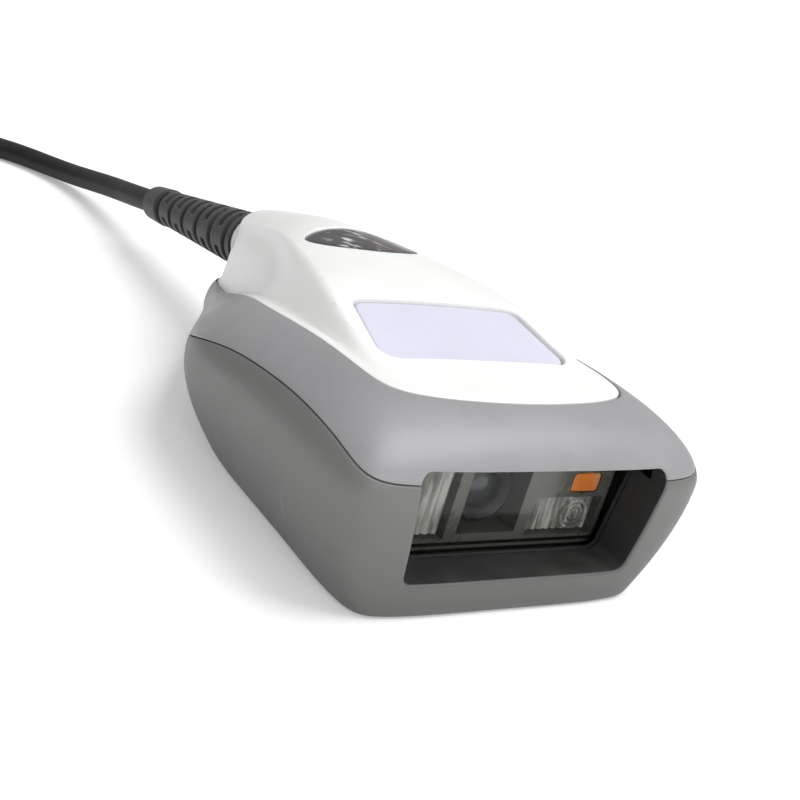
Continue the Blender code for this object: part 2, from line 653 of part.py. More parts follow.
def build_bracket():
    front = PANE_BACK + GAP
    block = box_solid((-21.0, front, BRACKET_LOW), (21.0, BRACKET_BACK, 20.4))
    bracket = add_mesh("optics_bracket", *block, BLACK, 0.55)
    tray = box_solid((-21.0, BRACKET_BACK - 1, BRACKET_LOW), (21.0, -19.4, BRACKET_LOW + 2.0))
    boolean(bracket, tool("bracket_tray", tray), "UNION")
    pockets = [box_solid((x - 6.4, front - 1, 6.4), (x + 6.4, BRACKET_BACK + 0.9, top + 0.4))
               for x, top in zip(LAMP_PLACES, LAMP_TOPS)]
    pockets.append(box_solid((-5.2, front - 1, 7.2), (5.2, BRACKET_BACK + 0.9, 17.2)))
    boolean(bracket, tool("bracket_pockets", join_solids(pockets)))
    aiming_hole = turned_solid((AIMING_X, front - 1, AIMING_Z), (0, 1, 0), [(0, 1.8), (9, 1.8)], 12)
    boolean(bracket, tool("aiming_hole", aiming_hole))
    boolean(bracket, tool("bracket_holes", join_solids(
        [turned_solid((x, y, 0), (0, 0, 1), [(0, 1.3), (9, 1.3)], 10) for x, y in BRACKET_SCREWS])))


def build_lamps():
    front = PANE_BACK + GAP
    lamps = [box_solid((x - 6.0, front + 0.8, 6.8), (x + 6.0, BRACKET_BACK - 0.6, top))
             for x, top in zip(LAMP_PLACES, LAMP_TOPS)]
    add_each("illumination_lens", lamps, CLEAR, 0.08)
    low = BRACKET_LOW + 2.3
    panel = box_solid((-20, LAMP_BOARD, low), (20, LAMP_BOARD + 1.2, 18.6))
    board = add_mesh("illumination_board", *panel, BOARD_GREEN, 0.5)
    barrel_hole = turned_solid((0, LAMP_BOARD - 2, IMAGER_Z), (0, 1, 0), [(0, 5.0), (6, 5.0)], 16)
    boolean(board, tool("barrel_hole", barrel_hole))
    leds = [box_solid((x - 1.4, LAMP_BOARD - 1.3, IMAGER_Z - 1.4), (x + 1.4, LAMP_BOARD - GAP, IMAGER_Z + 1.4))
            for lamp in LAMP_PLACES for x in (lamp - 3, lamp + 3)]
    add_each("illumination_led", leds, (0.8, 0.75, 0.35), 0.3)
    dome = [(0, 0.7), (0.8, 1.4), (BRACKET_BACK - front, 1.4)]
    led = turned_solid((AIMING_X, front + 0.6, AIMING_Z), (0, 1, 0), dome, 12)
    add_mesh("aiming_led", *led, (0.8, 0.25, 0.06), 0.2)


def build_imager():
    barrel = [(0, 3.2), (0, 4.5), (9.4, 4.5), (9.4, 3.2)]
    start = (0, BRACKET_BACK - 3.2, IMAGER_Z)
    add_mesh("lens_barrel", *hollow_turned(start, (0, 1, 0), barrel, 16), BLACK, 0.4)
    glass = turned_solid((0, start[1] + 1.2, IMAGER_Z), (0, 1, 0), [(0, 2.0), (0.8, 2.9), (1.6, 2.9)], 16)
    add_mesh("imager_lens", *glass, CLEAR, 0.03)
    back = start[1] + 9.4 + GAP
    low = BRACKET_LOW + 2.3
    holder = add_mesh("imager_holder", *box_solid((-7, back, low), (7, back + 3.0, 18)), BLACK, 0.55)
    bore = box_solid((-5, back - 1, IMAGER_Z - 4.5), (5, back + 5, IMAGER_Z + 4.5))
    boolean(holder, tool("holder_bore", bore))
    sensor = box_solid((-4.2, back + 1.4, IMAGER_Z - 3.6), (4.2, back + 3.0, IMAGER_Z + 3.6))
    add_mesh("image_sensor", *sensor, (0.1, 0.1, 0.12), 0.2)
    add_mesh("imager_board", *box_solid((-9, back + 3.3, low), (9, back + 4.5, 18.5)), BOARD_GREEN, 0.5)


# ---------------------------------------------------------------- boards and wiring

def build_boards():
    corners = [(-20, -10), (20, -10), (20, 4), (12, 25), (-12, 25), (-20, 4)]
    board = prism_solid(rounded_outline(corners, 1.5, 2), BOARD_LOW, BOARD_HIGH)
    main = add_mesh("main_board", *board, BOARD_GREEN, 0.5)
    boolean(main, tool("board_holes", join_solids(
        [turned_solid((x, y, 5), (0, 0, 1), [(0, 1.3), (8, 1.3)], 10) for x, y in BOARD_SCREWS])))
    corners = [(-13, -29.9), (13, -29.9), (13, -4.8), (-13, -4.8)]
    board = prism_solid(rounded_outline(corners, 1.5, 2), KEY_BOARD_HIGH - 1.2, KEY_BOARD_HIGH)
    key = add_mesh("key_board", *board, BOARD_GREEN, 0.5)
    boolean(key, tool("key_board_holes", join_solids(
        [turned_solid((x, y, 15), (0, 0, 1), [(0, 1.1), (10, 1.1)], 8) for x, y in KEY_SCREWS])))
    top = BOARD_HIGH + GAP
    add_mesh("shield_can", *box_solid((-16, -3, top), (-2.5, 9.5, top + 2.2)), STEEL, 0.35, 1.0)
    add_each("memory_chip", [
        box_solid((-14, 12.5, top), (-6, 17.5, top + 1.2)), box_solid((5, 12.5, top), (10, 18.5, top + 1.2)),
    ], BLACK, 0.45)
    beeper = turned_solid((9.5, 4.2, top), (0, 0, 1), [(0, 5.6), (4.8, 5.6), (5.4, 5.0)], 18)
    add_mesh("beeper", *beeper, BLACK, 0.4)
    add_each("ribbon_socket", [
        box_solid((5, -8.6, top), (13, -5.8, top + 1.4)), box_solid((-13, -8.6, top), (-5, -5.8, top + 1.4)),
    ], CREAM, 0.5)
    add_mesh("cord_socket", *box_solid((-6, 19.4, top), (6, 23.6, top + 5.0)), CREAM, 0.5)
    add_mesh("cord_plug_housing", *box_solid((-5.5, 19.7, top + 5.3), (5.5, 23.3, top + 10.3)), CREAM, 0.5)


def ribbon_solid(path, x_low, x_high, thickness=0.4):
    """Flat cable bent along a path of (y, z) points."""
    path = np.array(path, float)
    along = np.gradient(path, axis=0)
    along /= np.linalg.norm(along, axis=1)[:, None]
    across = np.column_stack([-along[:, 1], along[:, 0]]) * thickness / 2
    outline = np.concatenate([path + across, (path - across)[::-1]])
    n = len(outline)
    half = n // 2
    verts = [(x, y, z) for x in (x_low, x_high) for y, z in outline]
    faces = stitch(0, n, n)
    for base in (0, n):
        faces += [(base + i, base + i + 1, base + n - 2 - i, base + n - 1 - i) for i in range(half - 1)]
    return np.array(verts), faces


def build_ribbons():
    top = BOARD_HIGH + GAP + 0.7
    key = [(-8.5, 20.3), (-6.0, 20.1), (-4.7, 18.8), (-4.3, 16.8),
           (-4.2, 14.5), (-4.3, 12.6), (-4.8, top + 0.3), (-5.5, top)]
    add_mesh("key_ribbon", *ribbon_solid(key, 5.8, 12.2), (0.75, 0.45, 0.12), 0.45)
    imager = [(IMAGER_BACK + GAP, 16.6), (IMAGER_BACK + 1.6, 16.4), (-14.2, 15.2),
              (-12.6, 13.2), (-10.8, top + 0.4), (-8.9, top)]
    add_mesh("imager_ribbon", *ribbon_solid(imager, -12.2, -5.8), (0.75, 0.45, 0.12), 0.45)


def screw_solid(x, y, z, up, head_radius, head_height, shank_radius, length):
    """Screw with its head seat at z, and its shank running up (or down) from there."""
    profile = [(-head_height, head_radius * 0.8), (-head_height * 0.6, head_radius), (0, head_radius),
               (0.05, shank_radius), (length, shank_radius)]
    return turned_solid((x, y, z), (0, 0, up), profile, 12)


def add_screws(name, places, z, up, *sizes):
    """Make one numbered screw at each plan place, its head seat at z."""
    add_each(name, [screw_solid(x, y, z, up, *sizes) for x, y in places], STEEL, 0.35, 1.0)


def build_screws():
    add_screws("housing_screw", HOUSING_SCREWS, HOUSING_SEAT, 1, 2.2, 0.6, 0.85, 11)
    add_screws("board_screw", BOARD_SCREWS, BOARD_HIGH + GAP, -1, 1.9, 1.1, 0.8, 5)
    add_screws("bracket_screw", BRACKET_SCREWS, BRACKET_LOW + 2.3, -1, 1.9, 1.1, 0.8, 3.4)
    add_screws("key_board_screw", KEY_SCREWS, KEY_BOARD_HIGH - 1.5, 1, 1.6, 0.9, 0.5, 4)


# ---------------------------------------------------------------- cord

def relief_axis():
    return np.array([0, math.cos(CORD_SLOPE), -math.sin(CORD_SLOPE)])


def relief_point(distance):
    """Point on the strain relief's axis, a distance beyond the face it comes out of."""
    return np.array(RELIEF_START) + relief_axis() * distance


def build_relief():
    profile = [(-6.0, 4.0), (-5.8, RELIEF_FLANGE), (-4.2, RELIEF_FLANGE), (-4.1, 4.8), (-0.1, 4.8)]
    groove = 0.55
    ribs = 11
    pitch = (RELIEF_LENGTH - 7) / ribs
    for i in range(ribs):
        start = i * pitch
        radius = RELIEF_RADII[0] + (RELIEF_RADII[1] - RELIEF_RADII[0]) * start / RELIEF_LENGTH
        profile += [(start, radius), (start + pitch * 0.55, radius),
                    (start + pitch * 0.6, radius - groove), (start + pitch * 0.95, radius - groove)]
    tip = RELIEF_RADII[1]
    profile += [(RELIEF_LENGTH - 6.9, tip + 0.35), (RELIEF_LENGTH - 0.4, tip + 0.2), (RELIEF_LENGTH, tip - 0.3)]
    boot = turned_solid(relief_point(0), relief_axis(), profile, 14)
    add_mesh("strain_relief", *boot, (0.08, 0.08, 0.078), 0.6)
    start = relief_point(-6.0 - GAP)
    lead = [tuple(start), (0, 36, start[2] + 0.3), (0, 31, start[2] + 0.2), (0, 27, 20.2), (0, 23.9, 19.2)]
    add_tube("inner_lead", lead, 1.9, (0.05, 0.05, 0.05), 9)


def add_tube(name, route, radius, colour, count, resolution=2):
    """Round cord along a smooth curve through its route's points."""
    route = np.array(route, float)
    lengths = np.concatenate([[0], np.cumsum(np.linalg.norm(np.diff(route, axis=0), axis=1))])
    at = np.linspace(0, lengths[-1], count)
    points = np.column_stack([smooth(list(zip(lengths, route[:, k])), at) for k in range(3)])
    curve = bpy.data.curves.new(name, "CURVE")
    curve.dimensions = "3D"
    curve.bevel_depth = radius * MM
    curve.bevel_resolution = resolution
    curve.use_fill_caps = True
    spline = curve.splines.new("POLY")
    spline.points.add(count - 1)
    for point, place in zip(spline.points, points):
        point.co = (*(place * MM), 1)
    curve.materials.append(make_material(name, colour, 0.55))
    obj = bpy.data.objects.new(name, curve)
    bpy.context.scene.collection.objects.link(obj)
    return points


def coil_outer():
    return COIL_COLUMNS[-1] + CORD_RADIUS


def build_cord():
    x, y = COIL_CENTRE
    start = relief_point(RELIEF_LENGTH + GAP)
    clear = math.sqrt((coil_outer() + GAP) ** 2 - (COIL_COLUMNS[-1] - CORD_RADIUS) ** 2) + 0.4
    entry = y + COIL_COLUMNS[-1]
    route = [tuple(start)] + CORD_ROUTE + [(x + clear, entry, CORD_RADIUS)]
    add_tube("cord", route, CORD_RADIUS, (0.035, 0.035, 0.035), 15)
    height = CORD_RADIUS * 2 * COIL_LAYERS
    inner = COIL_COLUMNS[0] - CORD_RADIUS
    profile = [(0, inner), (0, coil_outer()), (height, coil_outer()), (height, inner)]
    add_mesh("cord_coil", *hollow_turned((x, y, 0), (0, 0, 1), profile, 32), (0.035, 0.035, 0.035), 0.55)
    left = x - COIL_COLUMNS[-1]
    tail = [(left, y - clear, TAIL_TOP)] + [(left, *place) for place in TAIL_ROUTE]
    add_tube("cord_tail", tail, CORD_RADIUS, (0.035, 0.035, 0.035), 11)
    build_plug(left)


def build_plug(x):
    """Standard USB-A plug lying on the floor, its shell pointing along -Y."""
    back = PLUG_START
    middle = PLUG_HEIGHT / 2
    rings = []
    stages = ((back, 3.6, 3.2), (back - 5, 4.2, 3.6), (back - 8, 7.4, middle), (back - 25, 7.8, middle))
    for y, half_x, half_z in stages:
        corners = [(-half_x, middle - half_z), (half_x, middle - half_z),
                   (half_x, middle + half_z), (-half_x, middle + half_z)]
        outline = rounded_outline(corners, 1.2, 2)
        rings.append(np.column_stack([outline[:, 0] + x, np.full(len(outline), y), outline[:, 1]]))
    add_mesh("plug_overmould", *fan_solid(rings), (0.03, 0.03, 0.03), 0.5)
    front = back - 25 - GAP
    outer = box_solid((x - 6, front - 12, middle - 2.25), (x + 6, front, middle + 2.25))
    shell = add_mesh("plug_shell", *outer, STEEL, 0.25, 1.0)
    bore = box_solid((x - 5.6, front - 13, middle - 1.85), (x + 5.6, front - 0.8, middle + 1.85))
    boolean(shell, tool("shell_bore", bore))
    tongue = box_solid((x - 5.2, front - 11.4, middle - 1.5), (x + 5.2, front - 1.1, middle + 0.1))
    add_mesh("plug_tongue", *tongue, (0.85, 0.85, 0.85), 0.4)


def build_label():
    low = [LABEL_LOW[0] + GAP, LABEL_LOW[1] + GAP, 0.25]
    high = [LABEL_HIGH[0] - GAP, LABEL_HIGH[1] - GAP, LABEL_HIGH[2] - GAP]
    add_mesh("rating_label", *box_solid(low, high), (0.8, 0.8, 0.78), 0.4)


def main():
    for obj in list(bpy.data.objects):
        bpy.data.objects.remove(obj, do_unlink=True)
    build_lower_housing()
    build_upper_housing()
    build_top_cover()
    build_trigger()
    build_switch()
    build_indicator()
    build_window()
    build_bracket()
    build_lamps()
    build_imager()
    build_boards()
    build_ribbons()
    build_screws()
    build_relief()
    build_cord()
    build_label()


main()
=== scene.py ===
"""Looks of a palm-size corded barcode scanner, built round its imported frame.

Lengths are millimetres until a mesh is made, which turns them into metres.
X runs across the scanner, +Y back from the window to the cord, and +Z up.
"""

import sys
import json
import logging
import math
from dataclasses import dataclass
from enum import Enum
from typing import Callable, Optional, Sequence, Union

import bmesh
import bpy
import numpy as np
from bpy.types import Material, Node, NodeSocket, NodeTree, Object
from mathutils import Matrix, Vector


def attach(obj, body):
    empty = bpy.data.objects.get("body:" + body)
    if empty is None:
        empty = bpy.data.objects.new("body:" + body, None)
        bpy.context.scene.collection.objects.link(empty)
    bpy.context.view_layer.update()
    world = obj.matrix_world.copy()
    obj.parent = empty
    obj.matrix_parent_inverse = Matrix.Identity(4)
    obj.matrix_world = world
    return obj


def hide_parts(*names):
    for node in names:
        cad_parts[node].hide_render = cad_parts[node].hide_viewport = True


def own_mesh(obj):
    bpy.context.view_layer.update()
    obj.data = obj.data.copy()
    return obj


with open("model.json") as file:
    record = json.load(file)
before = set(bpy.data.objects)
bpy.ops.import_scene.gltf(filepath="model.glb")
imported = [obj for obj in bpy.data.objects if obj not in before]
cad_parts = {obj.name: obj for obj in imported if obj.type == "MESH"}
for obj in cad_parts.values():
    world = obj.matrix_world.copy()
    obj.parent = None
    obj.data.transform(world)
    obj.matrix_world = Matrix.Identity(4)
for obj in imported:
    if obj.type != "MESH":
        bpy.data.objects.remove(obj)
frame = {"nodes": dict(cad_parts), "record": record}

MM = 0.001
GAP = 0.3  # clearance between pieces that touch
SEED = 7
Pair = tuple[float, float]
Triple = tuple[float, float, float]
Outline = Callable[[float], np.ndarray]
LOG = logging.getLogger("scanner")


class Body(Enum):
    """Bodies of the frame that a piece rides on."""

    HOUSING = "housing"
    TRIGGER = "trigger"


class Ends(Enum):
    """How a stack of rings is closed."""

    FAN = "fan"
    LADDER = "ladder"
    LOOPED = "looped"


class Lift(Enum):
    """Plane that an outline is drawn in."""

    PLAN = "plan"
    FRONT = "front"


# ---------------- solids


@dataclass
class Solid:
    """Points and faces of a closed surface, with a material place for each face."""

    points: np.ndarray
    faces: list[tuple[int, ...]]
    places: Optional[list[int]] = None


def stitched(low: int, high: int, count: int) -> list[tuple[int, ...]]:
    """Quads between two rings of points that start at low and high."""
    return [(low + i, low + (i + 1) % count, high + (i + 1) % count, high + i) for i in range(count)]


def rungs(start: int, count: int) -> list[tuple[int, ...]]:
    """Faces across a mirrored ring, which close it.

    Args:
        start: place of the ring's first point.
        count: number of its points.

    Returns:
        The faces.
    """
    half = count // 2
    faces: list[tuple[int, ...]] = [(start, start + 1, start + count - 1)]
    for i in range(1, half - 1):
        faces.append((start + i, start + i + 1, start + count - i - 1, start + count - i))
    faces.append((start + half - 1, start + half, start + half + 1))
    return faces


def stacked(rings: Sequence[np.ndarray], ends: Ends = Ends.FAN,
            places: Optional[Sequence[int]] = None) -> Solid:
    """Solid made of rings of equal count.

    Args:
        rings: arrays of points, one for each level.
        ends: how the first and last rings are closed.
        places: material place of each band between two rings, or None for the first place everywhere.

    Returns:
        The solid, with its faces not yet turned outwards.
    """
    count = len(rings[0])
    faces: list[tuple[int, ...]] = []
    marks: list[int] = []
    for k in range(len(rings) - 1):
        faces += stitched(k * count, (k + 1) * count, count)
        marks += [places[k] if places else 0] * count
    last = (len(rings) - 1) * count
    closing: list[tuple[int, ...]] = []
    if ends is Ends.LOOPED:
        closing = stitched(last, 0, count)
    elif ends is Ends.LADDER:
        closing = rungs(0, count) + rungs(last, count)
    elif ends is Ends.FAN:
        closing = [tuple(range(count)), tuple(range(last, last + count))]
    marks += [places[-1] if places else 0] * len(closing)
    return Solid(np.concatenate(rings), faces + closing, marks)


def joined(solids: Sequence[Solid]) -> Solid:
    """Separate solids as one list of points and faces.

    Args:
        solids: the solids.

    Returns:
        One solid that holds them all.
    """
    points: list[np.ndarray] = []
    faces: list[tuple[int, ...]] = []
    marks: list[int] = []
    count = 0
    for solid in solids:
        points.append(np.asarray(solid.points, float))
        faces += [tuple(i + count for i in face) for face in solid.faces]
        marks += solid.places or [0] * len(solid.faces)
        count += len(solid.points)
    return Solid(np.concatenate(points), faces, marks)


def axes_of(axis: Sequence[float]) -> tuple[np.ndarray, np.ndarray, np.ndarray]:
    """A unit axis and two unit vectors across it.

    Args:
        axis: direction of the axis.

    Returns:
        The unit axis, and two unit vectors at right angles to it.
    """
    along = np.array(axis, float) / np.linalg.norm(axis)
    side = np.array([1.0, 0, 0]) if abs(along[0]) < 0.9 else np.array([0, 1.0, 0])
    across = np.cross(along, side)
    across /= np.linalg.norm(across)
    return along, across, np.cross(along, across)


def turned(start: Sequence[float], axis: Sequence[float], profile: Sequence[Pair], sides: int = 48,
           ends: Ends = Ends.FAN) -> Solid:
    """Solid turned about an axis.

    Args:
        start: point where the profile's distance is 0.
        axis: direction of the axis.
        profile: (distance, radius) pairs along it.
        sides: number of faces round it.
        ends: FAN for a rod, LOOPED where the profile is a closed loop.

    Returns:
        The turned solid.
    """
    along, across, other = axes_of(axis)
    angles = np.arange(sides) * math.tau / sides
    circle = np.cos(angles)[:, None] * across + np.sin(angles)[:, None] * other
    return stacked([np.array(start, float) + along * d + circle * r for d, r in profile], ends)


def rounded(corners: Sequence[Pair], radius: float, steps: int = 8, spans: int = 1) -> np.ndarray:
    """Convex outline with its corners rounded by arcs.

    Args:
        corners: corner points in order.
        radius: radius of the arcs.
        steps: segments in each arc.
        spans: segments in each straight run.

    Returns:
        The outline's points.
    """
    places = [np.array(c, float) for c in corners]
    arcs: list[list[np.ndarray]] = []
    for i, corner in enumerate(places):
        back = places[i - 1] - corner
        ahead = places[(i + 1) % len(places)] - corner
        back /= np.linalg.norm(back)
        ahead /= np.linalg.norm(ahead)
        half = math.acos(float(np.clip(back @ ahead, -1, 1))) / 2
        middle = (back + ahead) / np.linalg.norm(back + ahead)
        centre = corner + middle * radius / math.sin(half)
        first = corner + back * radius / math.tan(half) - centre
        last = corner + ahead * radius / math.tan(half) - centre
        arc = []
        for k in range(steps + 1):
            turn = k / steps
            direction = first * (1 - turn) + last * turn
            arc.append(centre + direction / np.linalg.norm(direction) * radius)
        arcs.append(arc)
    points: list[np.ndarray] = []
    for i, arc in enumerate(arcs):
        following = arcs[(i + 1) % len(arcs)][0]
        points += arc
        points += [arc[-1] + (following - arc[-1]) * k / spans for k in range(1, spans)]
    return np.array(points)


def level_ring(outline: np.ndarray, level: Union[float, np.ndarray], lift: Lift = Lift.PLAN) -> np.ndarray:
    """Outline placed at a height, or at a depth along Y when it is drawn in the front plane.

    Args:
        outline: points of the outline.
        level: height or depth, for all points or for each.
        lift: plane that the outline is drawn in.

    Returns:
        The points in space.
    """
    levels = np.broadcast_to(np.asarray(level, float), (len(outline),))
    if lift is Lift.PLAN:
        return np.column_stack([outline, levels])
    return np.column_stack([outline[:, 0], levels, outline[:, 1]])


def quarter(radius: float, degrees: Sequence[float]) -> list[Pair]:
    """(way out, way down) pairs of a rounded edge, at angles in degrees."""
    turns = [math.radians(a) for a in degrees]
    return [(radius * (1 - math.sin(a)), radius * (1 - math.cos(a))) for a in turns]


def soft_prism(outline: Outline, low: float, high: float, edge: float = 0.2, lift: Lift = Lift.PLAN) -> Solid:
    """Prism whose end edges are rounded over.

    Args:
        outline: gives the outline grown by a distance.
        low: lower level.
        high: upper level.
        edge: radius of the rounding.
        lift: plane that the outline is drawn in.

    Returns:
        The prism.
    """
    turns = quarter(edge, (0, 22.5, 45, 67.5, 90))
    levels = [(-out, low + up) for out, up in turns] + [(-out, high - up) for out, up in reversed(turns)]
    return stacked([level_ring(outline(grow), z, lift) for grow, z in levels])


def rounded_box(low: Sequence[float], high: Sequence[float], grow: float, corner: float,
                steps: int) -> np.ndarray:
    """Rectangle grown by a distance, its corners rounded.

    Args:
        low: lowest corner.
        high: highest corner.
        grow: distance that it is grown by.
        corner: radius of the corners before it is grown.
        steps: segments in each corner.

    Returns:
        The outline.
    """
    corners = [(low[0] - grow, low[1] - grow), (high[0] + grow, low[1] - grow),
               (high[0] + grow, high[1] + grow), (low[0] - grow, high[1] + grow)]
    return rounded(corners, max(corner + grow, 0.02), steps)


def brick(low: Sequence[float], high: Sequence[float], edge: float = 0.2) -> Solid:
    """Box with rounded edges, from its lowest to its highest corner."""
    return soft_prism(lambda grow: rounded_box(low, high, grow, 0.3, 4), low[2], high[2], edge)


def block(low: Sequence[float], high: Sequence[float]) -> Solid:
    """Plain box for cutting with."""
    outline = np.array([(low[0], low[1]), (high[0], low[1]), (high[0], high[1]), (low[0], high[1])], float)
    return stacked([level_ring(outline, low[2]), level_ring(outline, high[2])])


def filleted(before: np.ndarray, corner: np.ndarray, after: np.ndarray, steps: int = 4) -> list[np.ndarray]:
    """Rings that turn softly from one ring to another, with a third one as their corner."""
    turns = [k / steps for k in range(steps + 1)]
    return [before * (1 - t) ** 2 + corner * 2 * t * (1 - t) + after * t * t for t in turns]


# ---------------- objects


def new_object(name: str, data: bpy.types.ID) -> Object:
    """New object at the origin, in the scene."""
    obj = bpy.data.objects.new(name, data)
    bpy.context.scene.collection.objects.link(obj)
    return obj


def mesh_object(name: str, solid: Solid, materials: Sequence[Material] = ()) -> Object:
    """Make an object from millimetre points, with its faces turned outwards.

    Args:
        name: the object's name.
        solid: its points and faces.
        materials: its materials, in the order of the faces' places.

    Returns:
        The object, at the origin.
    """
    mesh = bpy.data.meshes.new(name)
    mesh.from_pydata([tuple(p) for p in np.asarray(solid.points, float) * MM], [], solid.faces)
    for material in materials:
        mesh.materials.append(material)
    if solid.places and any(solid.places):
        mesh.polygons.foreach_set("material_index", solid.places)
    bm = bmesh.new()
    bm.from_mesh(mesh)
    bmesh.ops.remove_doubles(bm, verts=bm.verts, dist=1e-8)
    bmesh.ops.recalc_face_normals(bm, faces=bm.faces)
    bm.to_mesh(mesh)
    bm.free()
    return new_object(name, mesh)


def settle(obj: Object) -> None:
    """Make the result of an object's modifiers its plain mesh, and remove them."""
    graph = bpy.context.evaluated_depsgraph_get()
    mesh = bpy.data.meshes.new_from_object(obj.evaluated_get(graph), preserve_all_data_layers=True,
                                           depsgraph=graph)
    obj.modifiers.clear()
    obj.data = mesh


def combine(target: Object, solid: Solid, operation: str = "DIFFERENCE",
            materials: Sequence[Material] = ()) -> None:
    """Cut a solid from an object, or join it on, at once.

    Args:
        target: object that is changed.
        solid: the tool.
        operation: DIFFERENCE or UNION.
        materials: the tool's own materials, which its faces keep.
    """
    tool = mesh_object("shaping_tool", solid, materials)
    modifier = target.modifiers.new("shaping", "BOOLEAN")
    modifier.operation = operation
    modifier.solver = "EXACT"
    modifier.material_mode = "TRANSFER" if materials else "INDEX"
    modifier.object = tool
    settle(target)
    bpy.data.objects.remove(tool, do_unlink=True)


def smooth_shade(obj: Object, angle: float = 32.0) -> None:
    """Shade an object smooth, with sharp edges past an angle in degrees."""
    obj.data.shade_smooth()
    obj.data.set_sharp_from_angle(angle=math.radians(angle))


def fit(obj: Object, body: Body, slot: str, nodes: Sequence[str] = (), angle: float = 32.0) -> Object:
    """Finish a piece: shade it, ride it on its body and say what it stands for.

    Args:
        obj: the piece.
        body: body that it moves with.
        slot: the record's material slot.
        nodes: frame nodes that it replaces.
        angle: smoothing angle in degrees.

    Returns:
        The same piece.
    """
    if obj.type == "MESH":
        smooth_shade(obj, angle)
    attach(obj, body.value)
    if nodes:
        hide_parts(*nodes)
    LOG.info("%s on %s, %s", obj.name, body.value, slot)
    return obj


# ---------------- node trees


class Graph:
    """Short way to add the nodes of a shader or geometry tree and join them."""

    def __init__(self, tree: NodeTree) -> None:
        self.tree = tree

    def add(self, kind: str, inputs: Optional[dict] = None, **settings: object) -> Node:
        """Add a node.

        Args:
            kind: type name of the node.
            inputs: values or sockets for its inputs, by name or place.
            settings: the node's own properties.

        Returns:
            The node.
        """
        node = self.tree.nodes.new(kind)
        for key, value in settings.items():
            setattr(node, key, value)
        for key, value in (inputs or {}).items():
            if isinstance(value, NodeSocket):
                self.tree.links.new(value, node.inputs[key])
            else:
                node.inputs[key].default_value = value
        return node

    def math(self, operation: str, *values: object) -> NodeSocket:
        """Result of a Math node on sockets or numbers."""
        return self.add("ShaderNodeMath", dict(enumerate(values)), operation=operation).outputs[0]

    def times(self, *values: object) -> NodeSocket:
        """Product of sockets or numbers."""
        product = values[0]
        for value in values[1:]:
            product = self.math("MULTIPLY", product, value)
        return product

    def noise(self, vector: object, scale: object, detail: float = 2.0, roughness: float = 0.5,
              stretch: Optional[Triple] = None) -> NodeSocket:
        """Noise on a vector, stretched if asked.

        Args:
            vector: coordinates.
            scale: scale of the noise.
            detail: number of finer layers.
            roughness: share of the finer layers.
            stretch: scale along each axis, or None.

        Returns:
            The noise, about 0 to 1.
        """
        if stretch:
            vector = self.add("ShaderNodeMapping", {"Vector": vector, "Scale": stretch}).outputs[0]
        made = self.add("ShaderNodeTexNoise",
                        {"Vector": vector, "Scale": scale, "Detail": detail, "Roughness": roughness})
        return made.outputs["Fac"]

    def ranged(self, value: object, low: float, high: float, out_low: float = 0.0, out_high: float = 1.0,
               smooth: bool = True) -> NodeSocket:
        """Value carried from one range to another, and kept inside it.

        Args:
            value: value that is carried.
            low: start of its range.
            high: end of its range.
            out_low: result at the start.
            out_high: result at the end.
            smooth: whether the change eases in and out.

        Returns:
            The result.
        """
        node = self.add("ShaderNodeMapRange", {"Value": value, "From Min": low, "From Max": high,
                                               "To Min": out_low, "To Max": out_high},
                        interpolation_type="SMOOTHSTEP" if smooth else "LINEAR")
        return node.outputs[0]

    def realized(self, geometry: NodeSocket, finish: NodeSocket) -> NodeSocket:
        """Geometry with its instances made real and its material set."""
        real = self.add("GeometryNodeRealizeInstances", {0: geometry}).outputs[0]
        return self.add("GeometryNodeSetMaterial", {"Geometry": real, "Material": finish}).outputs[0]

    def blend(self, share: object, first: object, second: object) -> NodeSocket:
        """Mix of two colours.

        Args:
            share: share of the second colour.
            first: first colour.
            second: second colour.

        Returns:
            The mixed colour.
        """
        node = self.add("ShaderNodeMix", data_type="RGBA")
        for name, value in (("Factor_Float", share), ("A_Color", first), ("B_Color", second)):
            socket = next(s for s in node.inputs if s.identifier == name)
            if isinstance(value, NodeSocket):
                self.tree.links.new(value, socket)
            else:
                socket.default_value = value
        return next(s for s in node.outputs if s.identifier == "Result_Color")


def new_group(name: str, kind: str, inputs: dict[str, str],
              outputs: dict[str, str]) -> tuple[Graph, Sequence[NodeSocket]]:
    """Start a node group.

    Args:
        name: the group's name.
        kind: Shader or Geometry.
        inputs: kind of socket of each input, by name.
        outputs: kind of socket of each output, by name.

    Returns:
        The group's graph, and the sockets that its inputs come in by.
    """
    tree = bpy.data.node_groups.new(name, f"{kind}NodeTree")
    for direction, wanted in (("INPUT", inputs), ("OUTPUT", outputs)):
        for label, value in wanted.items():
            tree.interface.new_socket(label, in_out=direction, socket_type=f"NodeSocket{value}")
    graph = Graph(tree)
    return graph, graph.add("NodeGroupInput").outputs


def grow(obj: Object, tree: NodeTree, values: dict[str, object]) -> None:
    """Run a geometry tree on an object and keep the result as its plain mesh.

    Args:
        obj: object that is changed.
        tree: the geometry tree.
        values: value of each input, by name, which is set by its socket's identifier.
    """
    modifier = obj.modifiers.new(tree.name, "NODES")
    modifier.node_group = tree
    for item in tree.interface.items_tree:
        if item.item_type == "SOCKET" and item.in_out == "INPUT" and item.name in values:
            modifier[item.identifier] = values[item.name]
    settle(obj)


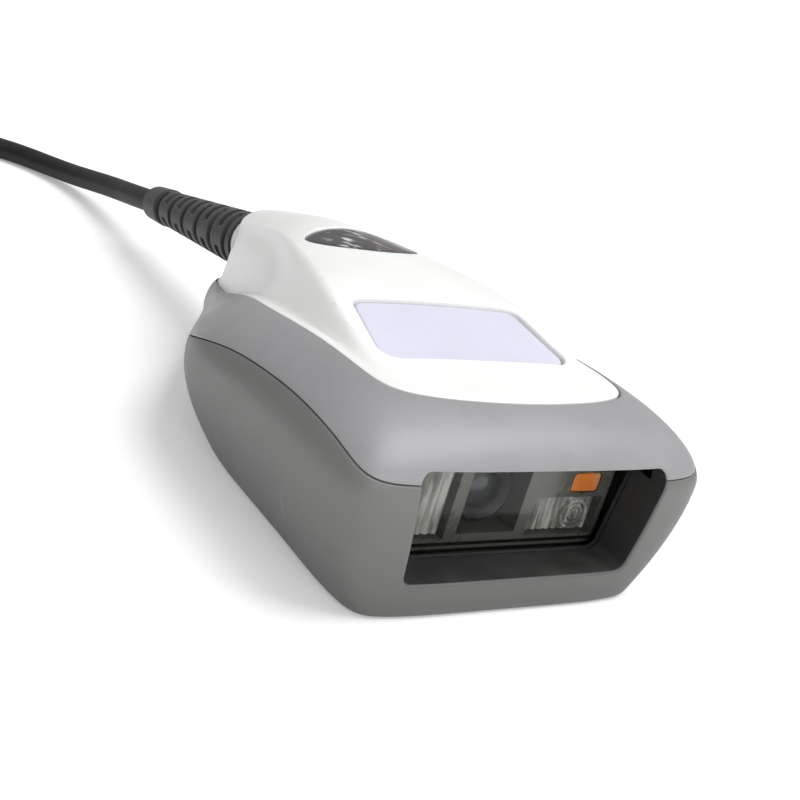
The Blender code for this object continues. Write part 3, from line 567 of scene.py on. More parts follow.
class SurfaceEffects:
    """Shader groups for effects that several finishes share, each built once."""

    def __init__(self) -> None:
        self.grain = self._grain()
        self.marks = self._marks()
        self.dust = self._dust()

    def _grain(self) -> NodeTree:
        """Fine grain of a textured mould, with slow variation of tone."""
        graph, source = new_group("moulded_grain", "Shader",
                                  {"Vector": "Vector", "Grain Scale": "Float", "Tone Scale": "Float"},
                                  {"Height": "Float", "Tone": "Float"})
        fine = graph.noise(source["Vector"], source["Grain Scale"], 3.0, 0.55)
        cells = graph.add("ShaderNodeTexVoronoi",
                          {"Vector": source["Vector"], "Scale": source["Grain Scale"]},
                          feature="SMOOTH_F1").outputs["Distance"]
        height = graph.math("ADD", graph.times(fine, 0.65), graph.times(cells, 0.35))
        tone = graph.ranged(graph.noise(source["Vector"], source["Tone Scale"], 4.0, 0.6), 0.3, 0.7)
        graph.add("NodeGroupOutput", {"Height": height, "Tone": tone})
        return graph.tree

    def _marks(self) -> NodeTree:
        """Faint rub marks of handling, in two directions."""
        graph, source = new_group("handling_marks", "Shader", {"Vector": "Vector", "Scale": "Float"},
                                  {"Mask": "Float"})
        lengthways = graph.noise(source["Vector"], source["Scale"], 5.0, 0.6, (6.0, 0.8, 3.0))
        sideways = graph.noise(source["Vector"], source["Scale"], 5.0, 0.6, (0.9, 5.0, 3.0))
        both = graph.math("MAXIMUM", graph.ranged(lengthways, 0.62, 0.78), graph.ranged(sideways, 0.64, 0.8))
        graph.add("NodeGroupOutput", {"Mask": both})
        return graph.tree

    def _dust(self) -> NodeTree:
        """Thin settled dust on faces that look up."""
        graph, source = new_group("settled_dust", "Shader", {"Vector": "Vector", "Scale": "Float"},
                                  {"Mask": "Float"})
        normal = graph.add("ShaderNodeNewGeometry").outputs["Normal"]
        upward = graph.add("ShaderNodeSeparateXYZ", {0: normal}).outputs["Z"]
        patches = graph.ranged(graph.noise(source["Vector"], source["Scale"], 4.0, 0.65), 0.35, 0.75)
        graph.add("NodeGroupOutput", {"Mask": graph.times(graph.ranged(upward, 0.2, 0.95), patches)})
        return graph.tree


# ---------------- finishes


@dataclass(frozen=True)
class Finish:
    """Moulded plastic or rubber: a coloured, finely grained surface."""

    name: str
    colour: Triple
    roughness: float = 0.45
    grain_scale: float = 3200.0
    grain_depth: float = 0.012
    tone: float = 0.06
    marks: float = 0.05
    dust: float = 0.02
    specular: float = 0.5
    coat: float = 0.0
    sheen: float = 0.0
    metallic: float = 0.0
    # strength of the painted shade that darkens the colour toward the base
    foot: float = 0.0

    TONE_SCALE = 90.0
    MARKS_SCALE = 60.0
    DUST_SCALE = 120.0
    DUST_COLOUR = (0.55, 0.53, 0.5, 1)
    # painted shade toward the base fades out at this height
    PAINTED_SHADE_TOP = 0.018  # metres above the base, where the darker foot fades out
    ROUGHNESS_SPREAD = 0.04

    def start(self) -> tuple[Material, Graph, Node, NodeSocket]:
        """New material with its graph, its shader and the object's coordinates."""
        material = bpy.data.materials.new(self.name)
        material.use_nodes = True
        graph = Graph(material.node_tree)
        shader = material.node_tree.nodes["Principled BSDF"]
        place = graph.add("ShaderNodeTexCoord").outputs["Object"]
        return material, graph, shader, place

    def shade(self, factor: float = 1.0, lift: float = 0.0) -> tuple[float, ...]:
        """The finish's colour scaled and lifted, as a colour socket's value."""
        return (*[min(c * factor + lift, 1) for c in self.colour], 1)

    def base(self, graph: Graph, place: NodeSocket, tone: NodeSocket) -> NodeSocket:
        """Colour before marks and dust: the finish's own colour, lighter and darker in slow patches.

        Args:
            graph: the material's graph.
            place: the object's coordinates.
            tone: slow variation from 0 to 1.

        Returns:
            The colour.
        """
        return graph.blend(tone, self.shade(1 - self.tone), self.shade(1 + self.tone))

    def build(self, effects: SurfaceEffects) -> Material:
        """Make the material.

        Args:
            effects: the shared effect groups.

        Returns:
            The finished material.
        """
        material, graph, shader, place = self.start()
        grain = graph.add("ShaderNodeGroup", {"Vector": place, "Grain Scale": self.grain_scale,
                                              "Tone Scale": self.TONE_SCALE}, node_tree=effects.grain).outputs
        shared = ((effects.marks, self.MARKS_SCALE), (effects.dust, self.DUST_SCALE))
        marks, dust = [graph.add("ShaderNodeGroup", {"Vector": place, "Scale": scale},
                                 node_tree=tree).outputs["Mask"] for tree, scale in shared]
        colour = self.base(graph, place, grain["Tone"])
        # painted shade: the colour darkens toward the base of the object
        if self.foot:
            height = graph.add("ShaderNodeSeparateXYZ", {0: place}).outputs["Z"]
            low = graph.times(graph.ranged(height, self.PAINTED_SHADE_TOP, 0.0, smooth=False), self.foot)
            colour = graph.blend(low, colour, self.shade(0.3))
        colour = graph.blend(graph.times(marks, self.marks), colour, self.shade(1.5, 0.05))
        colour = graph.blend(graph.times(dust, self.dust), colour, self.DUST_COLOUR)
        spread = self.ROUGHNESS_SPREAD
        rough = graph.math("ADD", graph.ranged(grain["Tone"], 0, 1, self.roughness - spread,
                                               self.roughness + spread), graph.times(marks, -2 * spread))
        bump = graph.add("ShaderNodeBump", {"Strength": 1.0, "Distance": self.grain_depth * MM,
                                            "Height": grain["Height"]}).outputs[0]
        for name, socket in (("Base Color", colour), ("Roughness", rough), ("Normal", bump)):
            graph.tree.links.new(socket, shader.inputs[name])
        constants = {"Specular IOR Level": self.specular, "Coat Weight": self.coat, "Coat Roughness": 0.25,
                     "Sheen Weight": self.sheen, "Sheen Roughness": 0.5, "Metallic": self.metallic}
        for name, value in constants.items():
            shader.inputs[name].default_value = value
        return material


@dataclass(frozen=True)
class PlatedMetal(Finish):
    """Plated or stamped metal with fine tooling lines."""

    lines: Triple = (40.0, 1.0, 1.0)

    def base(self, graph: Graph, place: NodeSocket, tone: NodeSocket) -> NodeSocket:
        """Metal's colour along its tooling lines."""
        streaks = graph.ranged(graph.noise(place, 300.0, 3.0, 0.6, self.lines), 0.3, 0.7)
        share = graph.times(graph.math("ADD", streaks, tone), 0.5)
        return graph.blend(share, self.shade(0.82), self.shade())


@dataclass(frozen=True)
class BoardLacquer(Finish):
    """Solder mask with copper tracks and pads beneath it."""

    def base(self, graph: Graph, place: NodeSocket, tone: NodeSocket) -> NodeSocket:
        """Green lacquer, lighter over the tracks, with tinned pads."""
        tracks = graph.add("ShaderNodeTexBrick", {"Vector": place, "Scale": 420.0, "Mortar Size": 0.09,
                                                  "Brick Width": 1.6, "Row Height": 0.5}).outputs["Fac"]
        pads = graph.add("ShaderNodeTexVoronoi", {"Vector": place, "Scale": 520.0},
                         feature="F1").outputs["Distance"]
        on_pad = graph.ranged(pads, 0.16, 0.13)
        green = graph.blend(tone, self.shade(0.8), self.shade())
        lacquer = graph.blend(tracks, green, self.shade(2.0, 0.02))
        return graph.blend(on_pad, lacquer, (0.6, 0.55, 0.42, 1))


@dataclass(frozen=True)
class PrintedFilm(Finish):
    """Blank label film with a printed border and no lettering."""

    half: Pair = (12.0, 6.7)
    centre: Pair = (0.0, -26.5)

    def base(self, graph: Graph, place: NodeSocket, tone: NodeSocket) -> NodeSocket:
        """Film with a thin dark frame line."""
        split = graph.add("ShaderNodeSeparateXYZ", {0: place}).outputs
        reach = []
        for axis, middle, half in (("X", self.centre[0], self.half[0]), ("Y", self.centre[1], self.half[1])):
            away = graph.math("ABSOLUTE", graph.math("SUBTRACT", split[axis], middle * MM))
            reach.append(graph.math("SUBTRACT", away, half * MM))
        edge = graph.math("ABSOLUTE", graph.math("MAXIMUM", *reach))
        line = graph.ranged(edge, 0.0003, 0.0002)
        return graph.blend(line, graph.blend(tone, self.shade(0.95), self.shade()), (0.1, 0.1, 0.11, 1))


@dataclass(frozen=True)
class SmokedLens(Finish):
    """Dark tinted lens over a faceted light guide, with painted glints of its facets and a faint painted red
    lamp glint.
    """

    def base(self, graph: Graph, place: NodeSocket, tone: NodeSocket) -> NodeSocket:
        """Smoke tint with painted glints of the facets beneath it and a painted red glint."""
        slanted = graph.add("ShaderNodeMapping", {"Vector": place, "Rotation": (0, 0, 0.7)}).outputs[0]
        facets = graph.add("ShaderNodeTexVoronoi", {"Vector": slanted, "Scale": 420.0, "Randomness": 0.7},
                           feature="F1", distance="MANHATTAN")
        sparkle = graph.ranged(facets.outputs["Distance"], 0.5, 0.9)
        streaks = graph.ranged(graph.noise(slanted, 500.0, 2.0, 0.5, (0.5, 2.5, 1.0)), 0.5, 0.68)
        place_x = graph.add("ShaderNodeSeparateXYZ", {0: place}).outputs["X"]
        left = graph.times(graph.ranged(place_x, 0.0045, -0.0005), graph.ranged(place_x, -0.0085, -0.005))
        right = graph.times(graph.ranged(place_x, 0.0005, 0.003), graph.ranged(place_x, 0.0085, 0.005))
        # painted highlights: light grey glints on the left half, and below them a painted red glint on the
        # right half
        glint = graph.times(sparkle, streaks, left, 0.85)
        colour = graph.blend(glint, self.shade(), (0.75, 0.75, 0.74, 1))
        return graph.blend(graph.times(streaks, right, 0.75), colour, (0.32, 0.16, 0.17, 1))


@dataclass(frozen=True)
class ClearGlazing(Finish):
    """Clear flat pane: mostly see-through, with a mirror film that grows at a slant."""

    tint: Triple = (0.97, 0.97, 0.96)

    def build(self, effects: SurfaceEffects) -> Material:
        """The finished material."""
        material, graph, shader, place = self.start()
        graph.tree.nodes.remove(shader)
        smears = graph.ranged(graph.noise(place, 90.0, 5.0, 0.65, (1.0, 1.0, 3.0)), 0.45, 0.8, 0.01, 0.06)
        clear = graph.add("ShaderNodeBsdfTransparent", {"Color": (*self.tint, 1)})
        mirror = graph.add("ShaderNodeBsdfAnisotropic", {"Color": (0.9, 0.92, 0.95, 1), "Roughness": smears})
        fresnel = graph.add("ShaderNodeFresnel", {"IOR": 1.14})
        mixed = graph.add("ShaderNodeMixShader",
                          {0: fresnel.outputs[0], 1: clear.outputs[0], 2: mirror.outputs[0]})
        output = next(n for n in graph.tree.nodes if n.type == "OUTPUT_MATERIAL")
        graph.tree.links.new(mixed.outputs[0], output.inputs["Surface"])
        return material


@dataclass(frozen=True)
class FacetedGuide(Finish):
    """Clear light guide seen against the lamps behind it: upright bright and dark facets painted into its
    colour.
    """

    streak: float = 900.0
    # emission strength: a painted glow on the light guides
    lit: float = 0.12

    def base(self, graph: Graph, place: NodeSocket, tone: NodeSocket) -> NodeSocket:
        """Smoky grey with painted upright highlight streaks, painted dark patches and small painted glints.
        """
        upright = graph.ranged(graph.noise(place, self.streak, 3.0, 0.6, (1.0, 1.0, 0.12)), 0.42, 0.66)
        patches = graph.ranged(graph.noise(place, self.streak * 0.35, 2.0, 0.5), 0.38, 0.62)
        grey = graph.blend(tone, self.shade(0.6), self.shade())
        patched = graph.blend(graph.times(patches, 0.6), grey, (0.1, 0.1, 0.09, 1))
        return graph.blend(graph.times(upright, 0.75), patched, (0.5, 0.51, 0.48, 1))

    def build(self, effects: SurfaceEffects) -> Material:
        """The finished material, its colour also given off as a faint glow, which on the light guides is a
        painted glow.
        """
        material = super().build(effects)
        shader = material.node_tree.nodes["Principled BSDF"]
        colour = shader.inputs["Base Color"].links[0].from_socket
        # emission from the base colour: painted glow on the light guides, which are no lamps
        material.node_tree.links.new(colour, shader.inputs["Emission Color"])
        shader.inputs["Emission Strength"].default_value = self.lit
        return material


@dataclass(frozen=True)
class ClearMoulding(Finish):
    """Clear moulded optics, which pass light but show their edges and flutes."""

    clearness: float = 0.6

    def build(self, effects: SurfaceEffects) -> Material:
        """The finished material."""
        material = super().build(effects)
        shader = material.node_tree.nodes["Principled BSDF"]
        shader.inputs["Alpha"].default_value = 1 - self.clearness
        shader.inputs["IOR"].default_value = 1.5
        return material


class Palette:
    """Every finish of the scanner as a material, by the record's slot names."""

    HOUSING_GREY = (0.152, 0.154, 0.148)
    SHOULDER_GREY = (0.285, 0.285, 0.295)

    def __init__(self) -> None:
        effects = SurfaceEffects()
        finishes = {
            # foot=0.6 paints shade that darkens the lower housing toward its base
            "grey_housing": Finish("lower_grey_plastic", self.HOUSING_GREY, 0.48, tone=0.04, foot=0.6),
            "light_grey_housing": Finish("shoulder_grey_plastic", self.SHOULDER_GREY, 0.4, tone=0.04),
            "white_cover": Finish("white_cover_plastic", (0.87, 0.88, 0.86), 0.36, 4200.0, 0.004, 0.015, 0.03,
                                  0.01, coat=0.15),
            "lavender_button": Finish("lavender_plastic", (0.65, 0.65, 0.765), 0.4, 3600.0, 0.008, 0.02, 0.05,
                                      0.01),
            "silicone": Finish("return_pad_silicone", (0.5, 0.5, 0.48), 0.6, 2600.0, 0.01, sheen=0.2),
            "black_plastic": Finish("black_plastic", (0.018, 0.018, 0.018), 0.5, 2600.0, 0.015, 0.15, 0.1,
                                    0.04),
            "amber_plastic": Finish("plunger_amber", (0.5, 0.36, 0.08), 0.4, 3000.0, 0.006),
            "smoked_lens": SmokedLens("smoked_lens", (0.04, 0.038, 0.038), 0.22, 3000.0, 0.002, marks=0.02,
                                      specular=0.3),
            "clear_plastic": ClearMoulding("clear_light_guide", (0.62, 0.64, 0.6), 0.12, 900.0, 0.02, 0.12,
                                           clearness=0.55),
            "cream_plastic": Finish("connector_cream", (0.72, 0.69, 0.6), 0.42, 2600.0, 0.01, 0.05),
            "rubber_seal": Finish("seal_rubber", (0.012, 0.012, 0.012), 0.75, 2200.0, 0.02, 0.2, sheen=0.15),
            "clear_window": ClearGlazing("window_glazing", (1, 1, 1)),
            "circuit_board": BoardLacquer("board_lacquer", (0.035, 0.15, 0.07), 0.35, 1800.0, 0.01, coat=0.3),
            "led_package": Finish("lamp_package", (0.85, 0.8, 0.55), 0.25, 2400.0, 0.006, coat=0.3),
            "orange_lens": FacetedGuide("orange_lens", (0.8, 0.24, 0.05), 0.2, 2400.0, 0.004, lit=0.25,
                                        streak=260.0),
            "lens_glass": ClearMoulding("coated_lens_glass", (0.03, 0.035, 0.045), 0.05, 900.0, 0.0,
                                        clearness=0.3, coat=1.0),
            "chip_black": Finish("chip_epoxy", (0.025, 0.025, 0.028), 0.42, 5200.0, 0.01, 0.2),
            "screw_steel": PlatedMetal("zinc_plating", (0.6, 0.6, 0.62), 0.32, 2600.0, 0.006, metallic=1.0),
            "flex_ribbon": Finish("polyimide_ribbon", (0.62, 0.33, 0.07), 0.32, 2000.0, 0.006, 0.12,
                                  coat=0.3),
            "strain_relief_rubber": Finish("strain_relief_rubber", (0.034, 0.034, 0.033), 0.52, 2000.0, 0.02,
                                           0.1, 0.1, 0.04, specular=0.4, sheen=0.04),
            "cord_jacket": Finish("cord_jacket", (0.012, 0.012, 0.0115), 0.5, 1500.0, 0.015, 0.12, 0.1, 0.03,
                                  specular=0.3),
            "plug_plastic": Finish("plug_overmould", (0.03, 0.03, 0.03), 0.5, 2400.0, 0.02, 0.12, 0.08, 0.04),
            "plug_steel": PlatedMetal("nickel_plating", (0.66, 0.65, 0.63), 0.24, 2600.0, 0.004, metallic=1.0,
                                      lines=(1.0, 30.0, 1.0)),
            "plug_insulator": Finish("contact_insulator", (0.82, 0.82, 0.8), 0.4, 2600.0, 0.006, 0.03),
            "label_film": PrintedFilm("label_film", (0.74, 0.74, 0.72), 0.4, 3200.0, 0.004, 0.03),
        }
        self.by_slot = {slot: finish.build(effects) for slot, finish in finishes.items()}
        extras = (
            # near-black painted shade for the deep tunnel walls of the window
            Finish("painted_recess_shade", (0.016, 0.016, 0.0155), 0.55, 2600.0, 0.02, 0.15, 0.05, 0.04),
            Finish("frame_grey_plastic", (0.11, 0.108, 0.098), 0.3, 2600.0, 0.01, 0.15, 0.1, 0.04),
            FacetedGuide("faceted_light_guide", (0.2, 0.2, 0.18), 0.15, 900.0, 0.05, 0.1),
            PlatedMetal("contact_gold", (0.85, 0.62, 0.28), 0.22, 2600.0, 0.003, metallic=1.0))
        self.recess, self.frame_grey, self.guide, self.contact = [finish.build(effects) for finish in extras]

    def __getitem__(self, slot: str) -> Material:
        """Material of a slot."""
        return self.by_slot[slot]


# ---------------- the housing's form


def stations_at(stations: Sequence[Pair], at: np.ndarray) -> np.ndarray:
    """Natural cubic spline through (station, value) pairs, held level past both ends.

    Args:
        stations: (station, value) pairs in order.
        at: places to read.

    Returns:
        The value at each place.
    """
    t, v = np.array(stations, float).T
    at = np.clip(np.asarray(at, float), t[0], t[-1])
    h = np.diff(t)
    n = len(t)
    a = np.eye(n)
    b = np.zeros(n)
    for i in range(1, n - 1):
        a[i, i - 1:i + 2] = h[i - 1], 2 * (h[i - 1] + h[i]), h[i]
        b[i] = 6 * ((v[i + 1] - v[i]) / h[i] - (v[i] - v[i - 1]) / h[i - 1])
    m = np.linalg.solve(a, b)
    k = np.clip(np.searchsorted(t, at) - 1, 0, n - 2)
    u, w, s = at - t[k], t[k + 1] - at, h[k]
    bend = (m[k] * w**3 + m[k + 1] * u**3) / (6 * s)
    return bend + (v[k] / s - m[k] * s / 6) * w + (v[k + 1] / s - m[k + 1] * s / 6) * u


def outward(loop: np.ndarray) -> np.ndarray:
    """Unit normals in plan of a loop of points that runs anticlockwise.

    Args:
        loop: points of the loop.

    Returns:
        A normal for each point.
    """
    along = np.roll(loop, -1, axis=0) - np.roll(loop, 1, axis=0)
    normal = np.column_stack([along[:, 1], -along[:, 0]])
    return normal / np.linalg.norm(normal, axis=1)[:, None]


@dataclass(frozen=True)
class HousingForm:
    """Sizes of the housing's outer form: plan outlines, and heights and widths along the body."""

    waist: tuple[Pair, ...] = (
        (0, -46.2), (12, -46.2), (22.8, -45.8), (29.2, -44.0), (31.2, -38.4), (31.3, -27), (31.1, -12),
        (30.2, 1), (27.0, 11.5), (21.8, 20.5), (15.9, 30.0), (11.4, 37.5), (9.1, 41.8), (7.3, 45.0),
        (3.8, 46.15), (0, 46.2))
    base: tuple[Pair, ...] = (
        (0, -44.9), (11, -44.9), (19.8, -44.4), (23.8, -42.5), (24.9, -37.4), (24.9, -27), (24.7, -12),
        (23.9, 0), (20.9, 9.5), (16.1, 17.6), (10.9, 26.4), (7.3, 33.0), (5.6, 36.8), (4.3, 39.3),
        (2.2, 40.6), (0, 40.8))
    rim: tuple[Pair, ...] = (
        (0, -36.4), (9, -35.9), (17.6, -34.0), (21.0, -30.8), (21.8, -25.5), (21.8, -18), (21.6, -8),
        (20.9, 2), (18.6, 11), (15.2, 20), (12.2, 29.0), (9.6, 36.0), (8.2, 40.5), (6.5, 43.9), (3.4, 45.1),
        (0, 45.2))
    waist_height: tuple[Pair, ...] = ((-46, 18.5), (-20, 18.0), (0, 15.5), (15, 12.2), (30, 9.6), (48, 7.5))
    rim_height: tuple[Pair, ...] = (
        (-36.4, 27.7), (-22, 27.5), (-10, 26.3), (0, 24.7), (8.5, 22.8), (17, 20.0), (27, 16.2), (37, 13.2),
        (47, 12.0))
    parting_height: tuple[Pair, ...] = (
        (-46, 20.2), (-40, 22.0), (-34, 22.8), (-26, 22.8), (-16, 22.0), (-5, 20.2), (5.5, 17.0), (15, 13.5),
        (30, 9.0), (48, 6.5))
    lean_power: tuple[Pair, ...] = ((-46, 1.9), (-10, 1.7), (10, 2.0), (48, 2.2))
    spine_height: tuple[Pair, ...] = (
        (-36.4, 27.7), (-30, 28.1), (-24, 28.7), (-10, 31.3), (2, 32.4), (13, 32.6), (24, 31.6), (32, 29.6),
        (40, 27.2), (48, 24.6))
    crest_width: tuple[Pair, ...] = (
        (-36, 18.5), (-24, 18.6), (-10, 17.3), (0, 14.8), (12, 12.2), (24, 9.4), (36, 7.6), (48, 7.0))
    crown_drop: tuple[Pair, ...] = ((-36, 0.2), (-24, 0.3), (-10, 0.5), (5, 1.2), (20, 2.4), (32, 3.5),
                                    (48, 4.5))
    flange_width: tuple[Pair, ...] = ((-36, 1.2), (-20, 2.0), (0, 3.0), (15, 3.0), (30, 2.0), (38, 0.8),
                                      (48, 0.4))
    spine_span: Pair = (-22.0, 39.0)
    shoulder_sweep: float = math.radians(66)
    wall: float = 2.0
    floor: float = 2.0
    base_chamfer: float = 0.9
    cover_wall: float = 1.6
    cover_side_wall: float = 1.4
    ledge_width: float = 3.0
    ledge_thickness: float = 1.3

    def loop(self, half: Sequence[Pair]) -> np.ndarray:
        """Whole loop of points from its +X half."""
        return np.array(list(half) + [(-x, y) for x, y in half[-2:0:-1]], float)

    def lengths(self) -> np.ndarray:
        """Distance round the waist at each of its points, and at its start again."""
        points = self.loop(self.waist)
        steps = np.linalg.norm(np.roll(points, -1, axis=0) - points, axis=1)
        return np.concatenate([[0], np.cumsum(steps)])

    def outline(self, half: Sequence[Pair], at: np.ndarray) -> np.ndarray:
        """Closed cubic spline through an outline, read at distances measured round the waist.

        Args:
            half: points of the outline's +X half.
            at: distances round the waist.

        Returns:
            A point of the outline for each distance.
        """
        points = self.loop(half)
        stops = self.lengths()
        n = len(points)
        h = np.diff(stops)
        a = np.zeros((n, n))
        b = np.zeros((n, 2))
        for i in range(n):
            before, after, following = h[i - 1], h[i], (i + 1) % n
            a[i, i - 1] += before
            a[i, i] += 2 * (before + after)
            a[i, following] += after
            b[i] = 6 * ((points[following] - points[i]) / after - (points[i] - points[i - 1]) / before)
        m = np.linalg.solve(a, b)
        k = np.clip(np.searchsorted(stops, at, side="right") - 1, 0, n - 1)
        j = (k + 1) % n
        u, w, s = (at - stops[k])[:, None], (stops[k + 1] - at)[:, None], h[k][:, None]
        bend = (m[k] * w**3 + m[j] * u**3) / (6 * s)
        return bend + (points[k] / s - m[k] * s / 6) * w + (points[j] / s - m[j] * s / 6) * u

    def columns(self, steps: int = 9) -> np.ndarray:
        """Places round the loop where the shells' columns stand."""
        stops = self.lengths()
        return np.concatenate([np.linspace(a, b, steps, endpoint=False)
                               for a, b in zip(stops[:-1], stops[1:])])

    def crest(self, x: np.ndarray, y: np.ndarray) -> np.ndarray:
        """Height of the top of the cover above points near its middle."""
        lean = (x / stations_at(self.crest_width, y)) ** 2
        return stations_at(self.spine_height, y) - stations_at(self.crown_drop, y) * lean

    def seam(self, offset: float) -> Callable[[np.ndarray], np.ndarray]:
        """Height of the parting line by Y, moved up by an offset."""
        return lambda y: stations_at(self.parting_height, y) + offset

    def inner(self) -> dict[str, float]:
        """How far the shells' inner skin lies inside the outer one."""
        drop = self.cover_wall + GAP + self.ledge_thickness
        return {"inset": self.wall, "rim_inset": self.ledge_width, "rim_drop": drop}


class Skin:
    """The housing's outer surface, read along columns round its plan."""

    def __init__(self, form: HousingForm, at: np.ndarray) -> None:
        self.form = form
        self.count = len(at)
        self.base = form.outline(form.base, at)
        self.waist = form.outline(form.waist, at)
        self.rim = form.outline(form.rim, at)
        self.waist_z = stations_at(form.waist_height, self.waist[:, 1])
        self.rim_z = stations_at(form.rim_height, self.rim[:, 1])
        self.lean_power = stations_at(form.lean_power, self.waist[:, 1])
        self.spine = np.column_stack([np.zeros(self.count), np.clip(self.rim[:, 1], *form.spine_span)])
        self.reach = np.linalg.norm(self.rim - self.spine, axis=1)

    def ring(self, v: Union[float, np.ndarray], inset: float = 0.0, rim_inset: float = 0.0,
             rim_drop: float = 0.0) -> np.ndarray:
        """One ring of the skin.

        Args:
            v: level, from 0 at the base through 1 at the waist to 2 at the rim.
            inset: distance inside the side walls.
            rim_inset: distance inside the rim.
            rim_drop: distance below the rim.

        Returns:
            A point for each column.
        """
        v = np.broadcast_to(np.asarray(v, float), (self.count,))
        rim_z = self.rim_z - rim_drop
        lean = np.clip(1 - v, 0, 1) ** self.lean_power
        side = self.waist + (self.base - self.waist) * lean[:, None]
        side = side - outward(side) * inset
        rim = self.rim - outward(self.rim) * rim_inset
        sweep = np.clip(v - 1, 0, 1) * self.form.shoulder_sweep
        inward = (1 - np.cos(sweep)) / (1 - math.cos(self.form.shoulder_sweep))
        upward = np.sin(sweep) / math.sin(self.form.shoulder_sweep)
        plan = side + (rim - side) * inward[:, None]
        rising = self.waist_z + (rim_z - self.waist_z) * upward
        return np.column_stack([plan, np.where(v < 1, self.waist_z * np.clip(v, 0, 1), rising)])

    def level(self, height_of: Callable[[np.ndarray], np.ndarray], **inner: float) -> np.ndarray:
        """The level at which each column reaches the height given for its place.

        Args:
            height_of: gives the height wanted at each Y.
            inner: insets of the inner skin, as ring() takes them.

        Returns:
            A level for each column.
        """
        low = np.zeros(self.count)
        high = np.full(self.count, 2.0)
        for _ in range(32):
            middle = (low + high) / 2
            ring = self.ring(middle, **inner)
            below = ring[:, 2] < height_of(ring[:, 1])
            low = np.where(below, middle, low)
            high = np.where(below, high, middle)
        return low

    def cover(self, q: Union[float, np.ndarray], wall: float = 0.0) -> np.ndarray:
        """One ring of the cover.

        Args:
            q: way from the rim, 0, to the spine, 1.
            wall: distance below the outer skin.

        Returns:
            A point for each column.
        """
        form = self.form
        q = np.broadcast_to(np.asarray(q, float), (self.count,))
        plan = self.rim + (self.spine - self.rim) * q[:, None]
        rim_y = self.rim[:, 1]
        flange = stations_at(form.flange_width, rim_y) / self.reach
        crest = stations_at(form.crest_width, rim_y) - (form.cover_side_wall if wall else 0)
        crest_at = 1 - crest / np.maximum(np.abs(self.rim[:, 0]), 1)
        crest_at = np.clip(crest_at, flange + (1.6 + wall) / self.reach, 0.9)
        start = flange / 2 + (form.cover_side_wall / self.reach if wall else 0)
        rise = np.clip((q - start) / (crest_at - start), 0, 1)
        rise = rise**3 * (rise * (6 * rise - 15) + 10)
        top = form.crest(plan[:, 0], plan[:, 1])
        return np.column_stack([plan, self.rim_z + (top - self.rim_z) * rise - wall])


# ---------------- openings


@dataclass(frozen=True)
class Openings:
    """Outlines of the window, the trigger and the indicator lens, and cutters that round their rims."""

    window_bottom: Pair = (19.2, 5.5)
    window_top: Pair = (21.6, 21.9)
    window_corner: float = 1.7
    tunnel_end: float = -39.0
    tunnel_wall: float = 1.6
    trigger_front: Pair = (16.6, -24.1)
    trigger_rear: Pair = (14.5, -10.1)
    trigger_corner: float = 2.2
    lens_centre: Pair = (0.0, 12.4)
    lens_half: Pair = (9.9, 5.2)

    def window(self, grow: float = 0.0, top: Optional[float] = None, steps: int = 8,
               spans: int = 16) -> np.ndarray:
        """Rounded trapezoid of the scan window, in the front plane.

        Args:
            grow: distance that the outline is grown by.
            top: height of its upper edge, or None for the opening's own.
            steps: segments in each corner.
            spans: segments in each side.

        Returns:
            The outline.
        """
        bottom, high = self.window_bottom, self.window_top
        top_z = high[1] + grow if top is None else top
        corners = [(-bottom[0] - grow, bottom[1] - grow), (bottom[0] + grow, bottom[1] - grow),
                   (high[0] + grow, top_z), (-high[0] - grow, top_z)]
        return rounded(corners, self.window_corner + grow, steps, spans)

    def trigger(self, grow: float = 0.0) -> np.ndarray:
        """Rounded trapezoid of the trigger button, in plan."""
        front, rear = self.trigger_front, self.trigger_rear
        corners = [(-front[0] - grow, front[1] - grow), (front[0] + grow, front[1] - grow),
                   (rear[0] + grow, rear[1] + grow), (-rear[0] - grow, rear[1] + grow)]
        return rounded(corners, self.trigger_corner + grow, 8, 14)

    def lens(self, grow: float = 0.0) -> np.ndarray:
        """Oval of the indicator lens, in plan."""
        angles = np.arange(72) * math.tau / 72
        return np.column_stack([self.lens_centre[0] + (self.lens_half[0] + grow) * np.cos(angles),
                                self.lens_centre[1] + (self.lens_half[1] + grow) * np.sin(angles)])

    def rim_profile(self, radius: float) -> list[Pair]:
        """(growth, depth) pairs of a cutter that rounds an opening's rim.

        Args:
            radius: radius of the rounding.

        Returns:
            The pairs, from the outside in.
        """
        first = math.radians(25)
        flare = (radius * (1 - math.sin(first)) + 1.2 * math.cos(first),
                 radius * (1 - math.cos(first)) - 1.2 * math.sin(first))
        return [flare] + quarter(radius, (25, 45, 67, 90))

    def plan_cutter(self, outline: Outline, form: HousingForm, clearance: float, radius: float,
                    low: float) -> Solid:
        """Cutter for an opening in the top of the cover.

        Args:
            outline: gives the opening's outline grown by a distance.
            form: the housing's form.
            clearance: gap round the piece that fills the opening.
            radius: rounding of the rim.
            low: height of the cutter's lower end.

        Returns:
            The cutter.
        """
        rings = []
        for grow, depth in self.rim_profile(radius):
            plan = outline(clearance + grow)
            rings.append(level_ring(plan, form.crest(plan[:, 0], plan[:, 1]) - depth))
        rings.append(level_ring(outline(clearance), low))
        rings.insert(0, level_ring(outline(clearance + self.rim_profile(radius)[0][0]), 40.0))
        return stacked(rings)

    def window_cutter(self, nose: Callable[[np.ndarray, np.ndarray], np.ndarray], radius: float) -> Solid:
        """Cutter for the scan window, which rounds its rim and gives its tunnel's walls the near-black
        painted shade of the recess.

        Args:
            nose: gives the nose's Y across and up it.
            radius: radius of the rim's rounding.

        Returns:
            The cutter.
        """
        rings = []
        for grow, depth in self.rim_profile(radius):
            front = self.window(grow)
            rings.append(level_ring(front, nose(front[:, 0], front[:, 1]) + depth, Lift.FRONT))
        rings.append(level_ring(self.window(), self.tunnel_end + 1, Lift.FRONT))
        rings.insert(0, level_ring(self.window(self.rim_profile(radius)[0][0]), -50.0, Lift.FRONT))
        # the tunnel's inner band takes the second place: near-black painted shade
        return stacked(rings, places=[0] * (len(rings) - 2) + [1])


